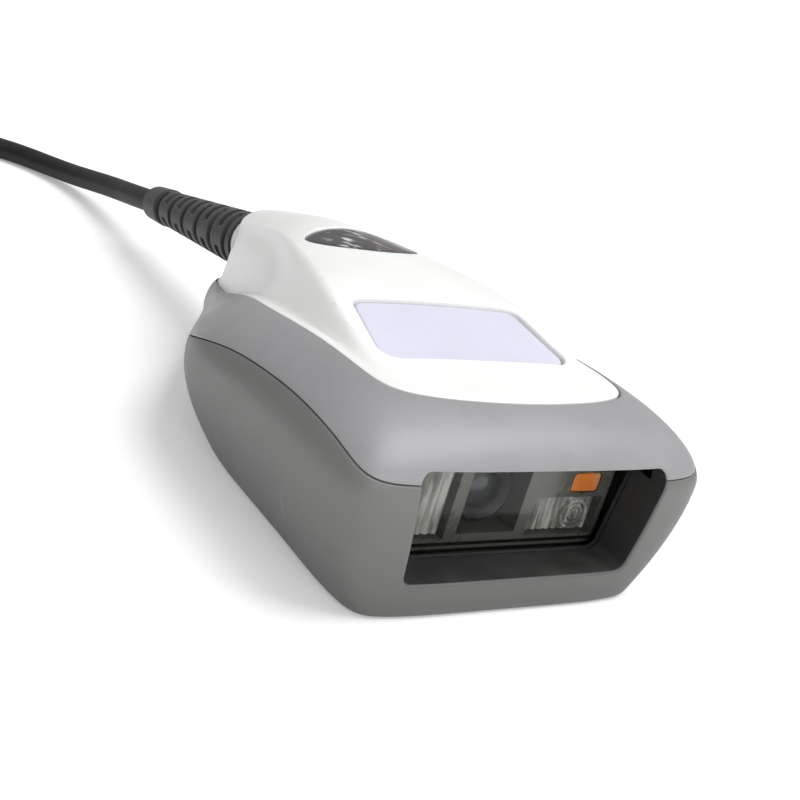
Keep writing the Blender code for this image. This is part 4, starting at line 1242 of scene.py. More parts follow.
class Nose:
    """Depth of the nose's skin in front of any point of the front plane."""

    def __init__(self, form: HousingForm) -> None:
        stops = form.lengths()
        self.skin = Skin(form, np.linspace(0, stops[5], 150))
        self.heights = np.linspace(1.0, 26.5, 52)
        self.rows = []
        for height in self.heights:
            ring = self.skin.ring(self.skin.level(lambda y, z=height: np.full_like(y, z)))
            self.rows.append((ring[:, 0], ring[:, 1]))

    def __call__(self, x: np.ndarray, z: np.ndarray) -> np.ndarray:
        """Y of the skin at places across and up the nose."""
        grid = np.array([np.interp(np.abs(x), xs, ys) for xs, ys in self.rows])
        return np.array([np.interp(height, self.heights, grid[:, i]) for i, height in enumerate(z)])


# ---------------- shells


@dataclass
class HousingShells:
    """Lower housing, upper housing and top cover, each a closed shell."""

    form: HousingForm
    openings: Openings
    palette: Palette
    seam_round: float = 0.26
    seam_gap: float = 0.07
    window_round: float = 0.42
    rim_round: float = 0.3
    board_screws: tuple[Pair, ...] = ((-17, -6.5), (17, -6.5), (-10.5, 21.5), (10.5, 21.5))
    bracket_screws: tuple[Pair, ...] = ((-17.5, -22.6), (17.5, -22.6))
    housing_screws: tuple[Pair, ...] = ((-19.6, -14.6), (19.6, -14.6), (-5.4, 30.4), (5.4, 30.4))
    key_screws: tuple[Pair, ...] = ((11, -27.8), (-11, -6.6))
    boss_low: float = 3.0
    board_low: float = 8.4
    bracket_low: float = 3.8
    key_board_high: float = 22.0
    roof_front: float = -41.2
    roof: tuple[Pair, ...] = ((-22.0, 19.9), (22.0, 19.9), (22.2, 23.4), (-22.2, 23.4))
    label_recess: tuple[Pair, Pair] = ((-13, -34), (13, -19))
    label_depth: float = 0.9
    pilot: float = 1.15
    post: float = 2.4

    def __post_init__(self) -> None:
        """Read the skin once for all three shells."""
        self.skin = Skin(self.form, self.form.columns())
        self.nose = Nose(self.form)

    def seam_edge(self, side: float) -> tuple[np.ndarray, np.ndarray, np.ndarray]:
        """Rings before, at and after the outer edge of the parting line, above it (+1) or below it (-1).

        Args:
            side: +1 above the parting line, -1 below it.

        Returns:
            The three rings.
        """
        near = self.skin.ring(self.skin.level(self.form.seam(side * (self.seam_gap + self.seam_round))))
        corner = self.skin.ring(self.skin.level(self.form.seam(side * self.seam_gap)))
        inside = corner.copy()
        inside[:, :2] -= outward(corner[:, :2]) * self.seam_round
        return near, corner, inside

    def rods(self, places: Sequence[Pair], low: float, high: float, radius: float,
             sides: int = 24) -> list[Solid]:
        """Upright round rods at plan places."""
        return [turned((x, y, low), (0, 0, 1), [(0, radius), (high - low, radius)], sides) for x, y in places]

    def lower(self) -> Object:
        """Grey lower housing with the window's tunnel, screw wells and the label's recess."""
        skin, form = self.skin, self.form
        near, corner, inside = self.seam_edge(-1)
        foot = form.base_chamfer / skin.waist_z
        top = skin.level(form.seam(-self.seam_gap - self.seam_round))
        sole = skin.ring(0.0, inset=form.base_chamfer)
        toe = skin.ring(0.0, inset=0.1)
        rings = filleted(sole, toe, skin.ring(foot), 4)
        rings += [skin.ring(foot + (top - foot) * s) for s in np.linspace(0, 1, 25)[1:-1]]
        rings += filleted(near, corner, inside, 4)
        inner_top = skin.level(form.seam(-GAP / 2), **form.inner())
        floor = form.floor / skin.waist_z
        rings += [skin.ring(floor + (inner_top - floor) * s, **form.inner()) for s in (1, 0.6, 0.25, 0)]
        housing = mesh_object("lower_housing_shell", stacked(rings, Ends.LADDER),
                              [self.palette["grey_housing"]])
        self._lower_inside(housing)
        self._cut_window(housing)
        wells = [turned((x, y, -1), (0, 0, 1),
                        [(0, 2.9), (1.05, 2.75), (1.3, 2.6), (2.0, 2.6), (2.02, 1.5), (5, 1.5)])
                 for x, y in self.housing_screws]
        combine(housing, joined(wells))
        outline = rounded_box(*self.label_recess, 0, 1.2, 6)
        combine(housing, stacked([level_ring(outline, -1), level_ring(outline, self.label_depth)]))
        return fit(housing, Body.HOUSING, "grey_housing", ["lower_housing"])

    def _lower_inside(self, housing: Object) -> None:
        """Tunnel and screw posts inside the lower housing."""
        gate = self.openings
        tunnel = [level_ring(gate.window(gate.tunnel_wall, top=19.6), y, Lift.FRONT)
                  for y in (-45.0, gate.tunnel_end)]
        combine(housing, stacked(tunnel), "UNION")
        posts = self.rods(self.board_screws, 1.2, self.board_low - GAP, self.post)
        posts += self.rods(self.bracket_screws, 1.2, self.bracket_low - GAP, self.post)
        combine(housing, joined(posts), "UNION")
        combine(housing, joined(self.rods(self.board_screws + self.bracket_screws, 2.6, 10.6, 1.1, 16)))

    def _cut_window(self, shell: Object) -> None:
        """Cut the scan window, its deep walls in the near-black painted shade of the recess."""
        cutter = self.openings.window_cutter(self.nose, self.window_round)
        combine(shell, cutter, materials=[shell.data.materials[0], self.palette.recess])

    def upper(self) -> Object:
        """Light grey upper housing, the shoulder band between the parting line and the cover."""
        skin, form = self.skin, self.form
        near, corner, inside = self.seam_edge(1)
        drop = form.cover_wall + GAP
        low = skin.level(form.seam(self.seam_gap + self.seam_round))
        out = outward(skin.rim)
        edge = skin.rim + out * GAP / 2
        rings = filleted(inside, corner, near, 4)
        rings += [skin.ring(low + (1.97 - low) * s) for s in np.linspace(0, 1, 17)[1:]]
        brow = np.column_stack([edge, skin.rim_z])
        rings += filleted(rings.pop(), brow, np.column_stack([edge, skin.rim_z - self.rim_round]), 3)
        rings.append(np.column_stack([edge, skin.rim_z - drop]))
        ledge = skin.ring(2.0, **form.inner())
        ledge[:, 2] = skin.rim_z - drop
        rings.append(ledge)
        inner_low = skin.level(form.seam(GAP / 2), **form.inner())
        rings += [skin.ring(2 + (inner_low - 2) * s, **form.inner()) for s in (0, 0.3, 0.65, 1)]
        housing = mesh_object("upper_housing_shell", stacked(rings, Ends.LOOPED),
                              [self.palette["light_grey_housing"]])
        front = self.housing_screws[:2]
        combine(housing, joined(self.rods(front, self.boss_low, 24.4, 2.9)), "UNION")
        levels = [level_ring(np.array(self.roof), y, Lift.FRONT)
                  for y in (self.roof_front, self.openings.tunnel_end)]
        combine(housing, stacked(levels), "UNION")
        self._cut_window(housing)
        combine(housing, joined(self.rods(front, self.boss_low - 1, 14.0, self.pilot)))
        return fit(housing, Body.HOUSING, "light_grey_housing", ["upper_housing"])

    def cover(self) -> Object:
        """White top cover that flares up from its rim to the crest."""
        skin, form, gate = self.skin, self.form, self.openings
        edge = skin.rim - outward(skin.rim) * GAP / 2
        brow = np.column_stack([edge, skin.rim_z])
        start = (GAP + self.rim_round) / skin.reach
        rings = [np.column_stack([edge, skin.rim_z - form.cover_wall])]
        rings += filleted(np.column_stack([edge, skin.rim_z - self.rim_round]), brow, skin.cover(start), 3)
        rings += [skin.cover(start + (1 - start) * s) for s in np.linspace(0, 0.975, 46)[1:]]
        outer = len(rings)
        inner_start = (form.ledge_width * 0.6) / skin.reach
        rings += [skin.cover(inner_start + (1 - inner_start) * s, form.cover_wall)
                  for s in (0.9, 0.6, 0.42, 0.28, 0.14, 0)]
        count = skin.count
        faces: list[tuple[int, ...]] = []
        for k in range(len(rings) - 1):
            if k != outer - 1:
                faces += stitched(k * count, (k + 1) * count, count)
        faces += rungs((outer - 1) * count, count) + rungs(outer * count, count)
        faces += stitched((len(rings) - 1) * count, 0, count)
        cover = mesh_object("top_cover_shell", Solid(np.concatenate(rings), faces),
                            [self.palette["white_cover"]])
        bosses = self.rods(self.housing_screws[2:], self.boss_low, 25.4, self.post)
        for x, y in self.key_screws:
            high = float(form.crest(np.array([x]), np.array([y]))[0]) - 0.8
            bosses += self.rods([(x, y)], self.key_board_high + GAP, high, 1.7)
        combine(cover, joined(bosses), "UNION")
        combine(cover, joined(self.rods(self.housing_screws[2:], self.boss_low - 1, 14.0, self.pilot)
                              + self.rods(self.key_screws, self.key_board_high - 1, 25.5, 0.8)))
        combine(cover, gate.plan_cutter(gate.trigger, form, 0.4, 0.35, 20.0))
        combine(cover, gate.plan_cutter(gate.lens, form, GAP, 0.2, 20.0))
        self._bore_relief(cover)
        return fit(cover, Body.HOUSING, "white_cover", ["top_cover"])

    def _bore_relief(self, cover: Object) -> None:
        """Bore the hole that the strain relief comes out of, with the groove that holds its flange."""
        relief = StrainRelief
        passage = relief.radii[0] + GAP
        collar = relief.flange + GAP
        profile = [(-12, passage), (-6.3, passage), (-6.3, collar), (-3.9, collar), (-3.9, passage),
                   (8, passage)]
        combine(cover, turned(relief.point(0), relief.direction(), profile, 64))

    def build(self) -> list[Object]:
        """All three shells."""
        return [self.lower(), self.upper(), self.cover()]


# ---------------- trigger and indicator


def crest_ring(form: HousingForm, plan: np.ndarray, middle: np.ndarray, depth: float,
               scale: float) -> np.ndarray:
    """Outline shrunk about its middle and laid a depth below the crest.

    Args:
        form: the housing's form.
        plan: outline in plan.
        middle: point that it shrinks about.
        depth: distance below the crest.
        scale: how far it shrinks.

    Returns:
        The outline's points in space.
    """
    plan = middle + (plan - middle) * scale
    return level_ring(plan, form.crest(plan[:, 0], plan[:, 1]) - depth)


@dataclass
class TriggerKey:
    """Lavender trigger button with its retaining flange and the core that presses the switch."""

    form: HousingForm
    openings: Openings
    palette: Palette
    recess: float = 0.5
    plate: float = 1.5
    flange_drop: float = 2.5
    edge: float = 0.4
    centre: Pair = (0.0, -17.0)
    core: float = 6.0
    pad_top: float = 25.4
    pad_base: float = 22.3
    stroke: float = 0.7

    def ring(self, grow: float, depth: float, scale: float = 1.0) -> np.ndarray:
        """Outline of the button, grown and shrunk, a depth below the crest."""
        plan = self.openings.trigger(grow)
        return crest_ring(self.form, plan, plan.mean(axis=0), depth, scale)

    def build(self) -> Object:
        """The button as one closed piece."""
        top = self.recess
        rings = [self.ring(-self.edge, top, s) for s in (0.05, 0.2, 0.4, 0.6, 0.8, 0.93)]
        rings += [self.ring(-out, top + down) for out, down in quarter(self.edge, (0, 22, 45, 67, 90))]
        under = top + self.plate
        rings += [self.ring(0, under), self.ring(-1.2, under), self.ring(-1.2, self.flange_drop)]
        sole = self.flange_drop + 0.8
        rings += [self.ring(1.0, self.flange_drop), self.ring(1.0, sole)]
        rings += [self.ring(-1.2, sole, s) for s in (1, 0.6, 0.1)]
        button = mesh_object("trigger_key", stacked(rings), [self.palette["lavender_button"]])
        x, y = self.centre
        low = self.pad_top + GAP
        angles = np.arange(48) * math.tau / 48
        circle = np.column_stack([x + self.core * np.cos(angles), y + self.core * np.sin(angles)])
        under_skin = self.form.crest(circle[:, 0], circle[:, 1]) - self.recess - self.plate / 2
        combine(button, stacked([level_ring(circle, low), level_ring(circle, under_skin)]), "UNION")
        return fit(button, Body.TRIGGER, "lavender_button", ["trigger_button"])

    def pad(self) -> Object:
        """Silicone return pad under the button, given a mesh of its own."""
        tall = self.pad_top - self.pad_base
        profile = [(0, 4.5), (0.05, 4.4), (0.6, 4.3), (tall - 0.5, 3.65), (tall, 3.7), (tall, 4.5),
                   (tall - 0.6, 4.75), (0.9, 5.1), (0.5, 5.55), (0, 5.6)]
        x, y = self.centre
        pad = mesh_object("silicone_return_pad",
                          turned((x, y, self.pad_base), (0, 0, 1), profile, 48, Ends.LOOPED),
                          [self.palette["silicone"]])
        fit(pad, Body.HOUSING, "silicone", ["return_pad"])
        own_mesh(pad)
        return pad


@dataclass
class Indicator:
    """Oval indicator lens in the crest, domed a little, with a rounded edge."""

    form: HousingForm
    openings: Openings
    palette: Palette
    depth: float = 0.15
    thickness: float = 1.3
    edge: float = 0.25

    def ring(self, grow: float, depth: float, scale: float = 1.0) -> np.ndarray:
        """Oval grown and shrunk, a depth below the crest."""
        gate = self.openings
        return crest_ring(self.form, gate.lens(grow), np.array(gate.lens_centre), depth, scale)

    def build(self) -> Object:
        """The lens as one closed piece."""
        rings = [self.ring(-self.edge, self.depth, s) for s in (0.05, 0.3, 0.6, 0.85)]
        rings += [self.ring(-out, self.depth + down) for out, down in quarter(self.edge, (0, 30, 60, 90))]
        rings += [self.ring(0, self.depth + self.thickness, s) for s in (1, 0.6, 0.05)]
        lens = mesh_object("indicator_oval", stacked(rings), [self.palette["smoked_lens"]])
        return fit(lens, Body.HOUSING, "smoked_lens", ["indicator_lens"])


# ---------------- optics behind the window


@dataclass
class ScanOptics:
    """Window pane, its bracket, light guides, lamps and the imager behind them."""

    openings: Openings
    palette: Palette
    pane_back: float = -36.3
    bracket_low: float = 3.8
    bracket_back: float = -30.5
    lamp_places: Pair = (-13.6, 13.6)
    lamp_tops: Pair = (17.0, 12.2)
    imager_z: float = 12.2
    aiming: Pair = (16.0, 14.9)
    lamp_half: Pair = (2.5, 1.45)
    flutes: int = 9

    def pane(self) -> Object:
        """Clear pane with eased edges."""
        gate = self.openings
        solid = soft_prism(lambda g: gate.window(1.2 + g, top=22.4 + g), gate.tunnel_end + 1.4,
                           self.pane_back, 0.15, Lift.FRONT)
        pane = mesh_object("window_pane", solid, [self.palette["clear_window"]])
        return fit(pane, Body.HOUSING, "clear_window", ["scan_window"])

    def seal(self) -> Object:
        """Rubber seal that frames the pane."""
        gate = self.openings
        front, back = gate.tunnel_end + GAP, gate.tunnel_end + 1.1
        rings = []
        for grow, top, y in ((1.3, 22.6, back), (1.3, 22.6, front), (0.45, 22.2, front),
                             (0.2, 22.0, front + 0.15), (0.2, 22.0, back)):
            rings.append(level_ring(gate.window(grow, top=top), y, Lift.FRONT))
        seal = mesh_object("window_seal_ring", stacked(rings, Ends.LOOPED), [self.palette["rubber_seal"]])
        return fit(seal, Body.HOUSING, "rubber_seal", ["window_seal"])

    def bracket(self) -> Object:
        """Dark bracket with pockets for the light guides and the imager, and grooved steps along its sill
        whose faces carry painted shade.
        """
        front = self.pane_back + GAP
        body = brick((-21.0, front, self.bracket_low), (21.0, self.bracket_back, 20.4), 0.25)
        bracket = mesh_object("optics_frame", body, [self.palette.frame_grey])
        combine(bracket, block((-20.6, self.bracket_back - 1, self.bracket_low + 0.01),
                               (20.6, -19.4, self.bracket_low + 2.0)), "UNION")
        deep = self.bracket_back + 0.9
        pockets = [block((x - 6.4, front - 1, 6.4), (x + 6.4, deep, top + 0.4))
                   for x, top in zip(self.lamp_places, self.lamp_tops)]
        pockets.append(block((-5.2, front - 1, 7.2), (5.2, deep, 17.2)))
        combine(bracket, joined(pockets))
        # painted shade: the grooves' faces take the near-black finish, darker than the rest of the bracket
        grooves = [block((-20.4, front - 1, z), (20.4, front + 0.8, z + 0.55)) for z in (4.3, 5.35)]
        combine(bracket, joined(grooves), materials=[self.palette["black_plastic"]])
        x, z = self.aiming
        combine(bracket, turned((x, front - 1, z), (0, 1, 0), [(0, 1.8), (9, 1.8)]))
        seat = self.lamp_face(0.12)
        combine(bracket, stacked([level_ring(seat, y, Lift.FRONT) for y in (front - 1, front + 1.2)]))
        holes = [turned((side * 17.5, -22.6, 0), (0, 0, 1), [(0, 1.3), (9, 1.3)], 20) for side in (-1, 1)]
        combine(bracket, joined(holes))
        return fit(bracket, Body.HOUSING, "black_plastic", ["optics_bracket"])

    def fluted(self, middle: float, top: float) -> Solid:
        """Light guide whose front is fluted from side to side.

        Args:
            middle: X of its middle.
            top: height of its top.

        Returns:
            The light guide.
        """
        front = self.pane_back + GAP + 0.8
        back = self.bracket_back - 0.6
        steps = self.flutes * 8
        xs = np.linspace(middle - 6.0, middle + 6.0, steps + 1)
        waves = 0.35 * np.abs(np.sin(np.linspace(0, math.pi * self.flutes, steps + 1)))
        outline = np.concatenate([np.column_stack([xs, front + 0.4 - waves]),
                                  [(middle + 6.0, back), (middle - 6.0, back)]])
        return stacked([level_ring(outline, 6.8), level_ring(outline, top)])

    def ringed(self, middle: float) -> Solid:
        """Round stepped lens face that stands on the front of a light guide."""
        front = self.pane_back + GAP + 0.75
        profile: list[Pair] = [(0.02, 0.02), (0.0, 0.35)]
        for k in range(3):
            inner = 0.4 + k * 0.75
            profile += [(0.35, inner), (-0.3, inner + 0.12), (-0.3, inner + 0.5), (0.1, inner + 0.7)]
        profile += [(0.35, 2.6), (0.9, 2.65)]
        return turned((middle + 2.4, front - 0.05, 9.45), (0, 1, 0), profile, 48)

    def guides(self) -> list[Object]:
        """Both light guides, the right one with a round stepped lens face."""
        made = []
        for number, (middle, top) in enumerate(zip(self.lamp_places, self.lamp_tops), start=1):
            solid = self.fluted(middle, top)
            guide = mesh_object(f"light_guide_{number}", solid, [self.palette.guide])
            if middle > 0:
                combine(guide, self.ringed(middle), "UNION")
            made.append(fit(guide, Body.HOUSING, "clear_plastic", [f"illumination_lens_{number}"], 25.0))
        return made

    def lamp_face(self, grow: float = 0.0) -> np.ndarray:
        """Outline of the aiming lamp's lens, in the front plane."""
        x, z = self.aiming
        half_x, half_z = self.lamp_half
        return rounded_box((x - half_x, z - half_z), (x + half_x, z + half_z), grow, 0.5, 5)

    def lamp(self) -> Object:
        """Orange aiming lamp, a domed body behind a rectangular lens."""
        x, z = self.aiming
        front = self.pane_back + GAP
        dome = [(0.1 + 1.2 * (1 - math.cos(a)), max(1.6 * math.sin(a), 0.02))
                for a in np.linspace(0.05, math.pi / 2, 10)]
        lamp = mesh_object("aiming_lamp",
                           turned((x, front + 0.3, z), (0, 1, 0),
                                  dome + [(1.8, 1.6), (1.9, 1.4), (5.0, 1.4)]), [self.palette["orange_lens"]])
        combine(lamp, soft_prism(self.lamp_face, front + 0.1, front + 1.0, 0.15, Lift.FRONT), "UNION")
        return fit(lamp, Body.HOUSING, "orange_lens", ["aiming_led"])

    def barrel(self) -> list[Object]:
        """Threaded lens barrel and its front lens."""
        start = (0, self.bracket_back - 3.2, self.imager_z)
        profile = [(9.4, 3.2), (1.0, 3.2), (0.3, 3.7), (0, 4.1), (0.15, 4.5)]
        for k in range(14):
            profile += [(0.9 + k * 0.55, 4.5), (1.05 + k * 0.55, 4.32), (1.2 + k * 0.55, 4.32),
                        (1.35 + k * 0.55, 4.5)]
        profile.append((9.4, 4.5))
        barrel = mesh_object("imager_barrel", turned(start, (0, 1, 0), profile, 48, Ends.LOOPED),
                             [self.palette["black_plastic"]])
        bulge = [(0.0 + 0.9 * (1 - math.cos(a)), max(2.9 * math.sin(a), 0.02))
                 for a in np.linspace(0.03, 1.35, 9)]
        glass = mesh_object("imager_front_lens", turned((0, start[1] + 1.2, self.imager_z), (0, 1, 0),
                                                        bulge + [(1.2, 2.9), (1.6, 2.9)]),
                            [self.palette["lens_glass"]])
        return [fit(barrel, Body.HOUSING, "black_plastic", ["lens_barrel"]),
                fit(glass, Body.HOUSING, "lens_glass", ["imager_lens"])]

    def build(self) -> list[Object]:
        """Every piece that the window shows."""
        return [self.pane(), self.seal(), self.bracket(), *self.guides(), self.lamp(), *self.barrel()]


# ---------------- screws


@dataclass
class ScrewSet:
    """Cross-drive screws, stood on their places by a geometry tree."""

    palette: Palette
    shells: HousingShells
    pitch: float = 0.55

    def screw(self, head: float, height: float, shank: float, length: float) -> Object:
        """One screw with thread rings and a cross recess, its head seat at 0 and its shank running up.

        Args:
            head: radius of the head.
            height: height of the head.
            shank: radius of the shank.
            length: length of the shank.

        Returns:
            The screw, which the geometry tree copies.
        """
        dome = ((1, 0.55), (0.93, 0.8), (0.6, 0.97), (0.3, 1.0))
        profile: list[Pair] = [(-height * up, head * out) for up, out in dome] + [(0, head), (0.05, shank)]
        for k in range(1, int(length / self.pitch)):
            profile += [(k * self.pitch, shank * 0.82), (k * self.pitch + 0.27, shank)]
        profile.append((length, shank * 0.5))
        piece = mesh_object("screw_pattern", turned((0, 0, 0), (0, 0, 1), profile, 20))
        arm, wide = head * 0.62, head * 0.13
        deep = -height * 0.25
        cross = [block((-arm, -wide, -height - 1), (arm, wide, deep)),
                 block((-wide, -arm, -height - 1), (wide, arm, deep))]
        for bar in cross:
            combine(piece, bar)
        return piece

    def tree(self) -> NodeTree:
        """Geometry tree that stands a screw on each point of its mesh, turned at random about its axis."""
        graph, source = new_group("screws_on_points", "Geometry",
                                  {"Geometry": "Geometry", "Screw": "Object", "Flip": "Float", "Seed": "Int",
                                   "Finish": "Material"}, {"Geometry": "Geometry"})
        shape = graph.add("GeometryNodeObjectInfo", {"Object": source["Screw"]}).outputs["Geometry"]
        turn = graph.add("FunctionNodeRandomValue", {"Seed": source["Seed"]}, data_type="FLOAT")
        turn.inputs[3].default_value = math.tau
        spin = graph.add("ShaderNodeCombineXYZ", {0: source["Flip"], 2: turn.outputs[1]}).outputs[0]
        placed = graph.add("GeometryNodeInstanceOnPoints", {"Points": source["Geometry"], "Instance": shape,
                                                            "Rotation": spin}).outputs[0]
        graph.add("NodeGroupOutput", {"Geometry": graph.realized(placed, source["Finish"])})
        return graph.tree

    def row(self, node: str, places: Sequence[Triple], up: bool, sizes: tuple[float, float, float, float],
            tree: NodeTree) -> Object:
        """A set of equal screws as one piece.

        Args:
            node: stem of the frame nodes that it replaces.
            places: head seats.
            up: True where the shanks run up.
            sizes: head radius, head height, shank radius and length.
            tree: the geometry tree.

        Returns:
            The piece.
        """
        pattern = self.screw(*sizes)
        name = f"{node}s"
        mesh = bpy.data.meshes.new(name)
        mesh.from_pydata([tuple(c * MM for c in place) for place in places], [], [])
        obj = new_object(name, mesh)
        grow(obj, tree, {"Screw": pattern, "Flip": 0.0 if up else math.pi, "Seed": SEED,
                         "Finish": self.palette["screw_steel"]})
        bpy.data.objects.remove(pattern, do_unlink=True)
        nodes = [f"{node}_{k}" for k in range(1, len(places) + 1)]
        return fit(obj, Body.HOUSING, "screw_steel", nodes, 28.0)

    def build(self) -> list[Object]:
        """All the scanner's screws."""
        shells, tree = self.shells, self.tree()
        board_seat = shells.board_low + 1.6 + GAP
        rows = (("housing_screw", shells.housing_screws, 1.3, True, (2.2, 0.9, 0.85, 10.4)),
                ("board_screw", shells.board_screws, board_seat, False, (1.9, 1.1, 0.8, 5.0)),
                ("bracket_screw", shells.bracket_screws, shells.bracket_low + 2.3, False,
                 (1.9, 1.1, 0.8, 3.4)),
                ("key_board_screw", shells.key_screws, shells.key_board_high - 1.5, True,
                 (1.6, 0.9, 0.5, 4.0)))
        return [self.row(node, [(x, y, seat) for x, y in places], up, sizes, tree)
                for node, places, seat, up, sizes in rows]


# ---------------- strain relief and cord


@dataclass
class StrainRelief:
    """Tapered rubber boot with two slots at each step, each step turned a quarter from the last."""

    palette: Palette
    slope: float = math.radians(10.2)
    outlet: Triple = (0, 45.6, 18.8)
    length: float = 43.0
    radii: Pair = (5.35, 3.15)
    flange: float = 6.3
    rows: int = 11
    collar: float = 7.0
    slot_depth: float = 1.5

    @classmethod
    def direction(cls) -> np.ndarray:
        """Unit vector along which the cord leaves."""
        return np.array([0, math.cos(cls.slope), -math.sin(cls.slope)])

    @classmethod
    def point(cls, distance: float) -> np.ndarray:
        """Point on the axis, a distance beyond the face it comes out of."""
        return np.array(cls.outlet) + cls.direction() * distance

    def tree(self) -> NodeTree:
        """Geometry tree that turns a plain cylinder into the slotted boot."""
        graph, source = new_group("slotted_boot", "Geometry",
                                  {"Length": "Float", "Root Radius": "Float", "Tip Radius": "Float",
                                   "Collar": "Float", "Rows": "Int", "Slot Depth": "Float",
                                   "Finish": "Material"}, {"Geometry": "Geometry"})
        rod = graph.add("GeometryNodeMeshCylinder", {"Vertices": 96, "Side Segments": 190, "Fill Segments": 1,
                                                     "Radius": 1.0, "Depth": source["Length"]})
        place = graph.add("GeometryNodeInputPosition").outputs[0]
        x, y, z = graph.add("ShaderNodeSeparateXYZ", {0: place}).outputs
        along = graph.math("ADD", z, graph.times(source["Length"], 0.5))
        slotted = graph.math("SUBTRACT", source["Length"], source["Collar"])
        step = graph.times(graph.math("DIVIDE", along, slotted), source["Rows"])
        row = graph.math("FLOOR", step)
        within = graph.math("FRACT", step)
        groove = graph.times(graph.ranged(within, 0.50, 0.58), graph.ranged(within, 1.0, 0.92))
        angle = graph.math("ARCTAN2", y, x)
        quarter = graph.times(graph.math("MODULO", row, 2.0), math.pi / 2)
        facing = graph.math("ABSOLUTE", graph.math("COSINE", graph.math("ADD", angle, quarter)))
        arc = graph.ranged(facing, 0.36, 0.46)
        inside = graph.math("LESS_THAN", along, slotted)
        slot = graph.times(groove, arc, inside)
        share = graph.math("DIVIDE", along, source["Length"])
        span = graph.math("SUBTRACT", source["Tip Radius"], source["Root Radius"])
        taper = graph.math("ADD", source["Root Radius"], graph.times(span, share))
        swell = graph.times(graph.ranged(along, slotted, graph.math("ADD", slotted, 0.4 * MM)), 0.3 * MM)
        nose = graph.times(graph.ranged(share, 0.985, 1.0), 0.5 * MM)
        radius = graph.math("SUBTRACT", graph.math("ADD", taper, swell),
                            graph.math("ADD", graph.times(slot, source["Slot Depth"]), nose))
        scaled = graph.add("ShaderNodeCombineXYZ", {0: graph.times(x, radius), 1: graph.times(y, radius),
                                                    2: along}).outputs[0]
        shaped = graph.add("GeometryNodeSetPosition",
                           {"Geometry": rod.outputs["Mesh"], "Position": scaled}).outputs[0]
        graph.add("NodeGroupOutput", {"Geometry": graph.realized(shaped, source["Finish"])})
        return graph.tree

    def build(self) -> Object:
        """The boot with its hidden flange."""
        obj = mesh_object("strain_relief_boot", Solid(np.zeros((1, 3)), []))
        grow(obj, self.tree(), {"Length": self.length * MM, "Root Radius": self.radii[0] * MM,
                                "Tip Radius": self.radii[1] * MM, "Collar": self.collar * MM,
                                "Rows": self.rows, "Slot Depth": self.slot_depth * MM,
                                "Finish": self.palette["strain_relief_rubber"]})
        along = self.direction()
        across = np.array([1.0, 0, 0])
        turn = Matrix(np.column_stack([across, np.cross(along, across), along])).to_4x4()
        obj.data.transform(Matrix.Translation(Vector(self.point(0) * MM)) @ turn)
        profile = [(-6.0, 4.0), (-5.8, self.flange), (-4.2, self.flange), (-4.1, 4.8), (0.6, 4.8)]
        combine(obj, turned(self.point(0), along, profile, 48), "UNION")
        return fit(obj, Body.HOUSING, "strain_relief_rubber", ["strain_relief"], 30.0)


def smooth_path(points: Sequence[Sequence[float]], step: float) -> np.ndarray:
    """Smooth curve through points, read at even distances.

    Args:
        points: points of the route.
        step: distance between the points read.

    Returns:
        The curve's points.
    """
    route = np.array(points, float)
    lengths = np.concatenate([[0], np.cumsum(np.linalg.norm(np.diff(route, axis=0), axis=1))])
    at = np.linspace(0, lengths[-1], max(int(lengths[-1] / step), 2) + 1)
    return np.column_stack([stations_at(list(zip(lengths, route[:, k])), at) for k in range(3)])


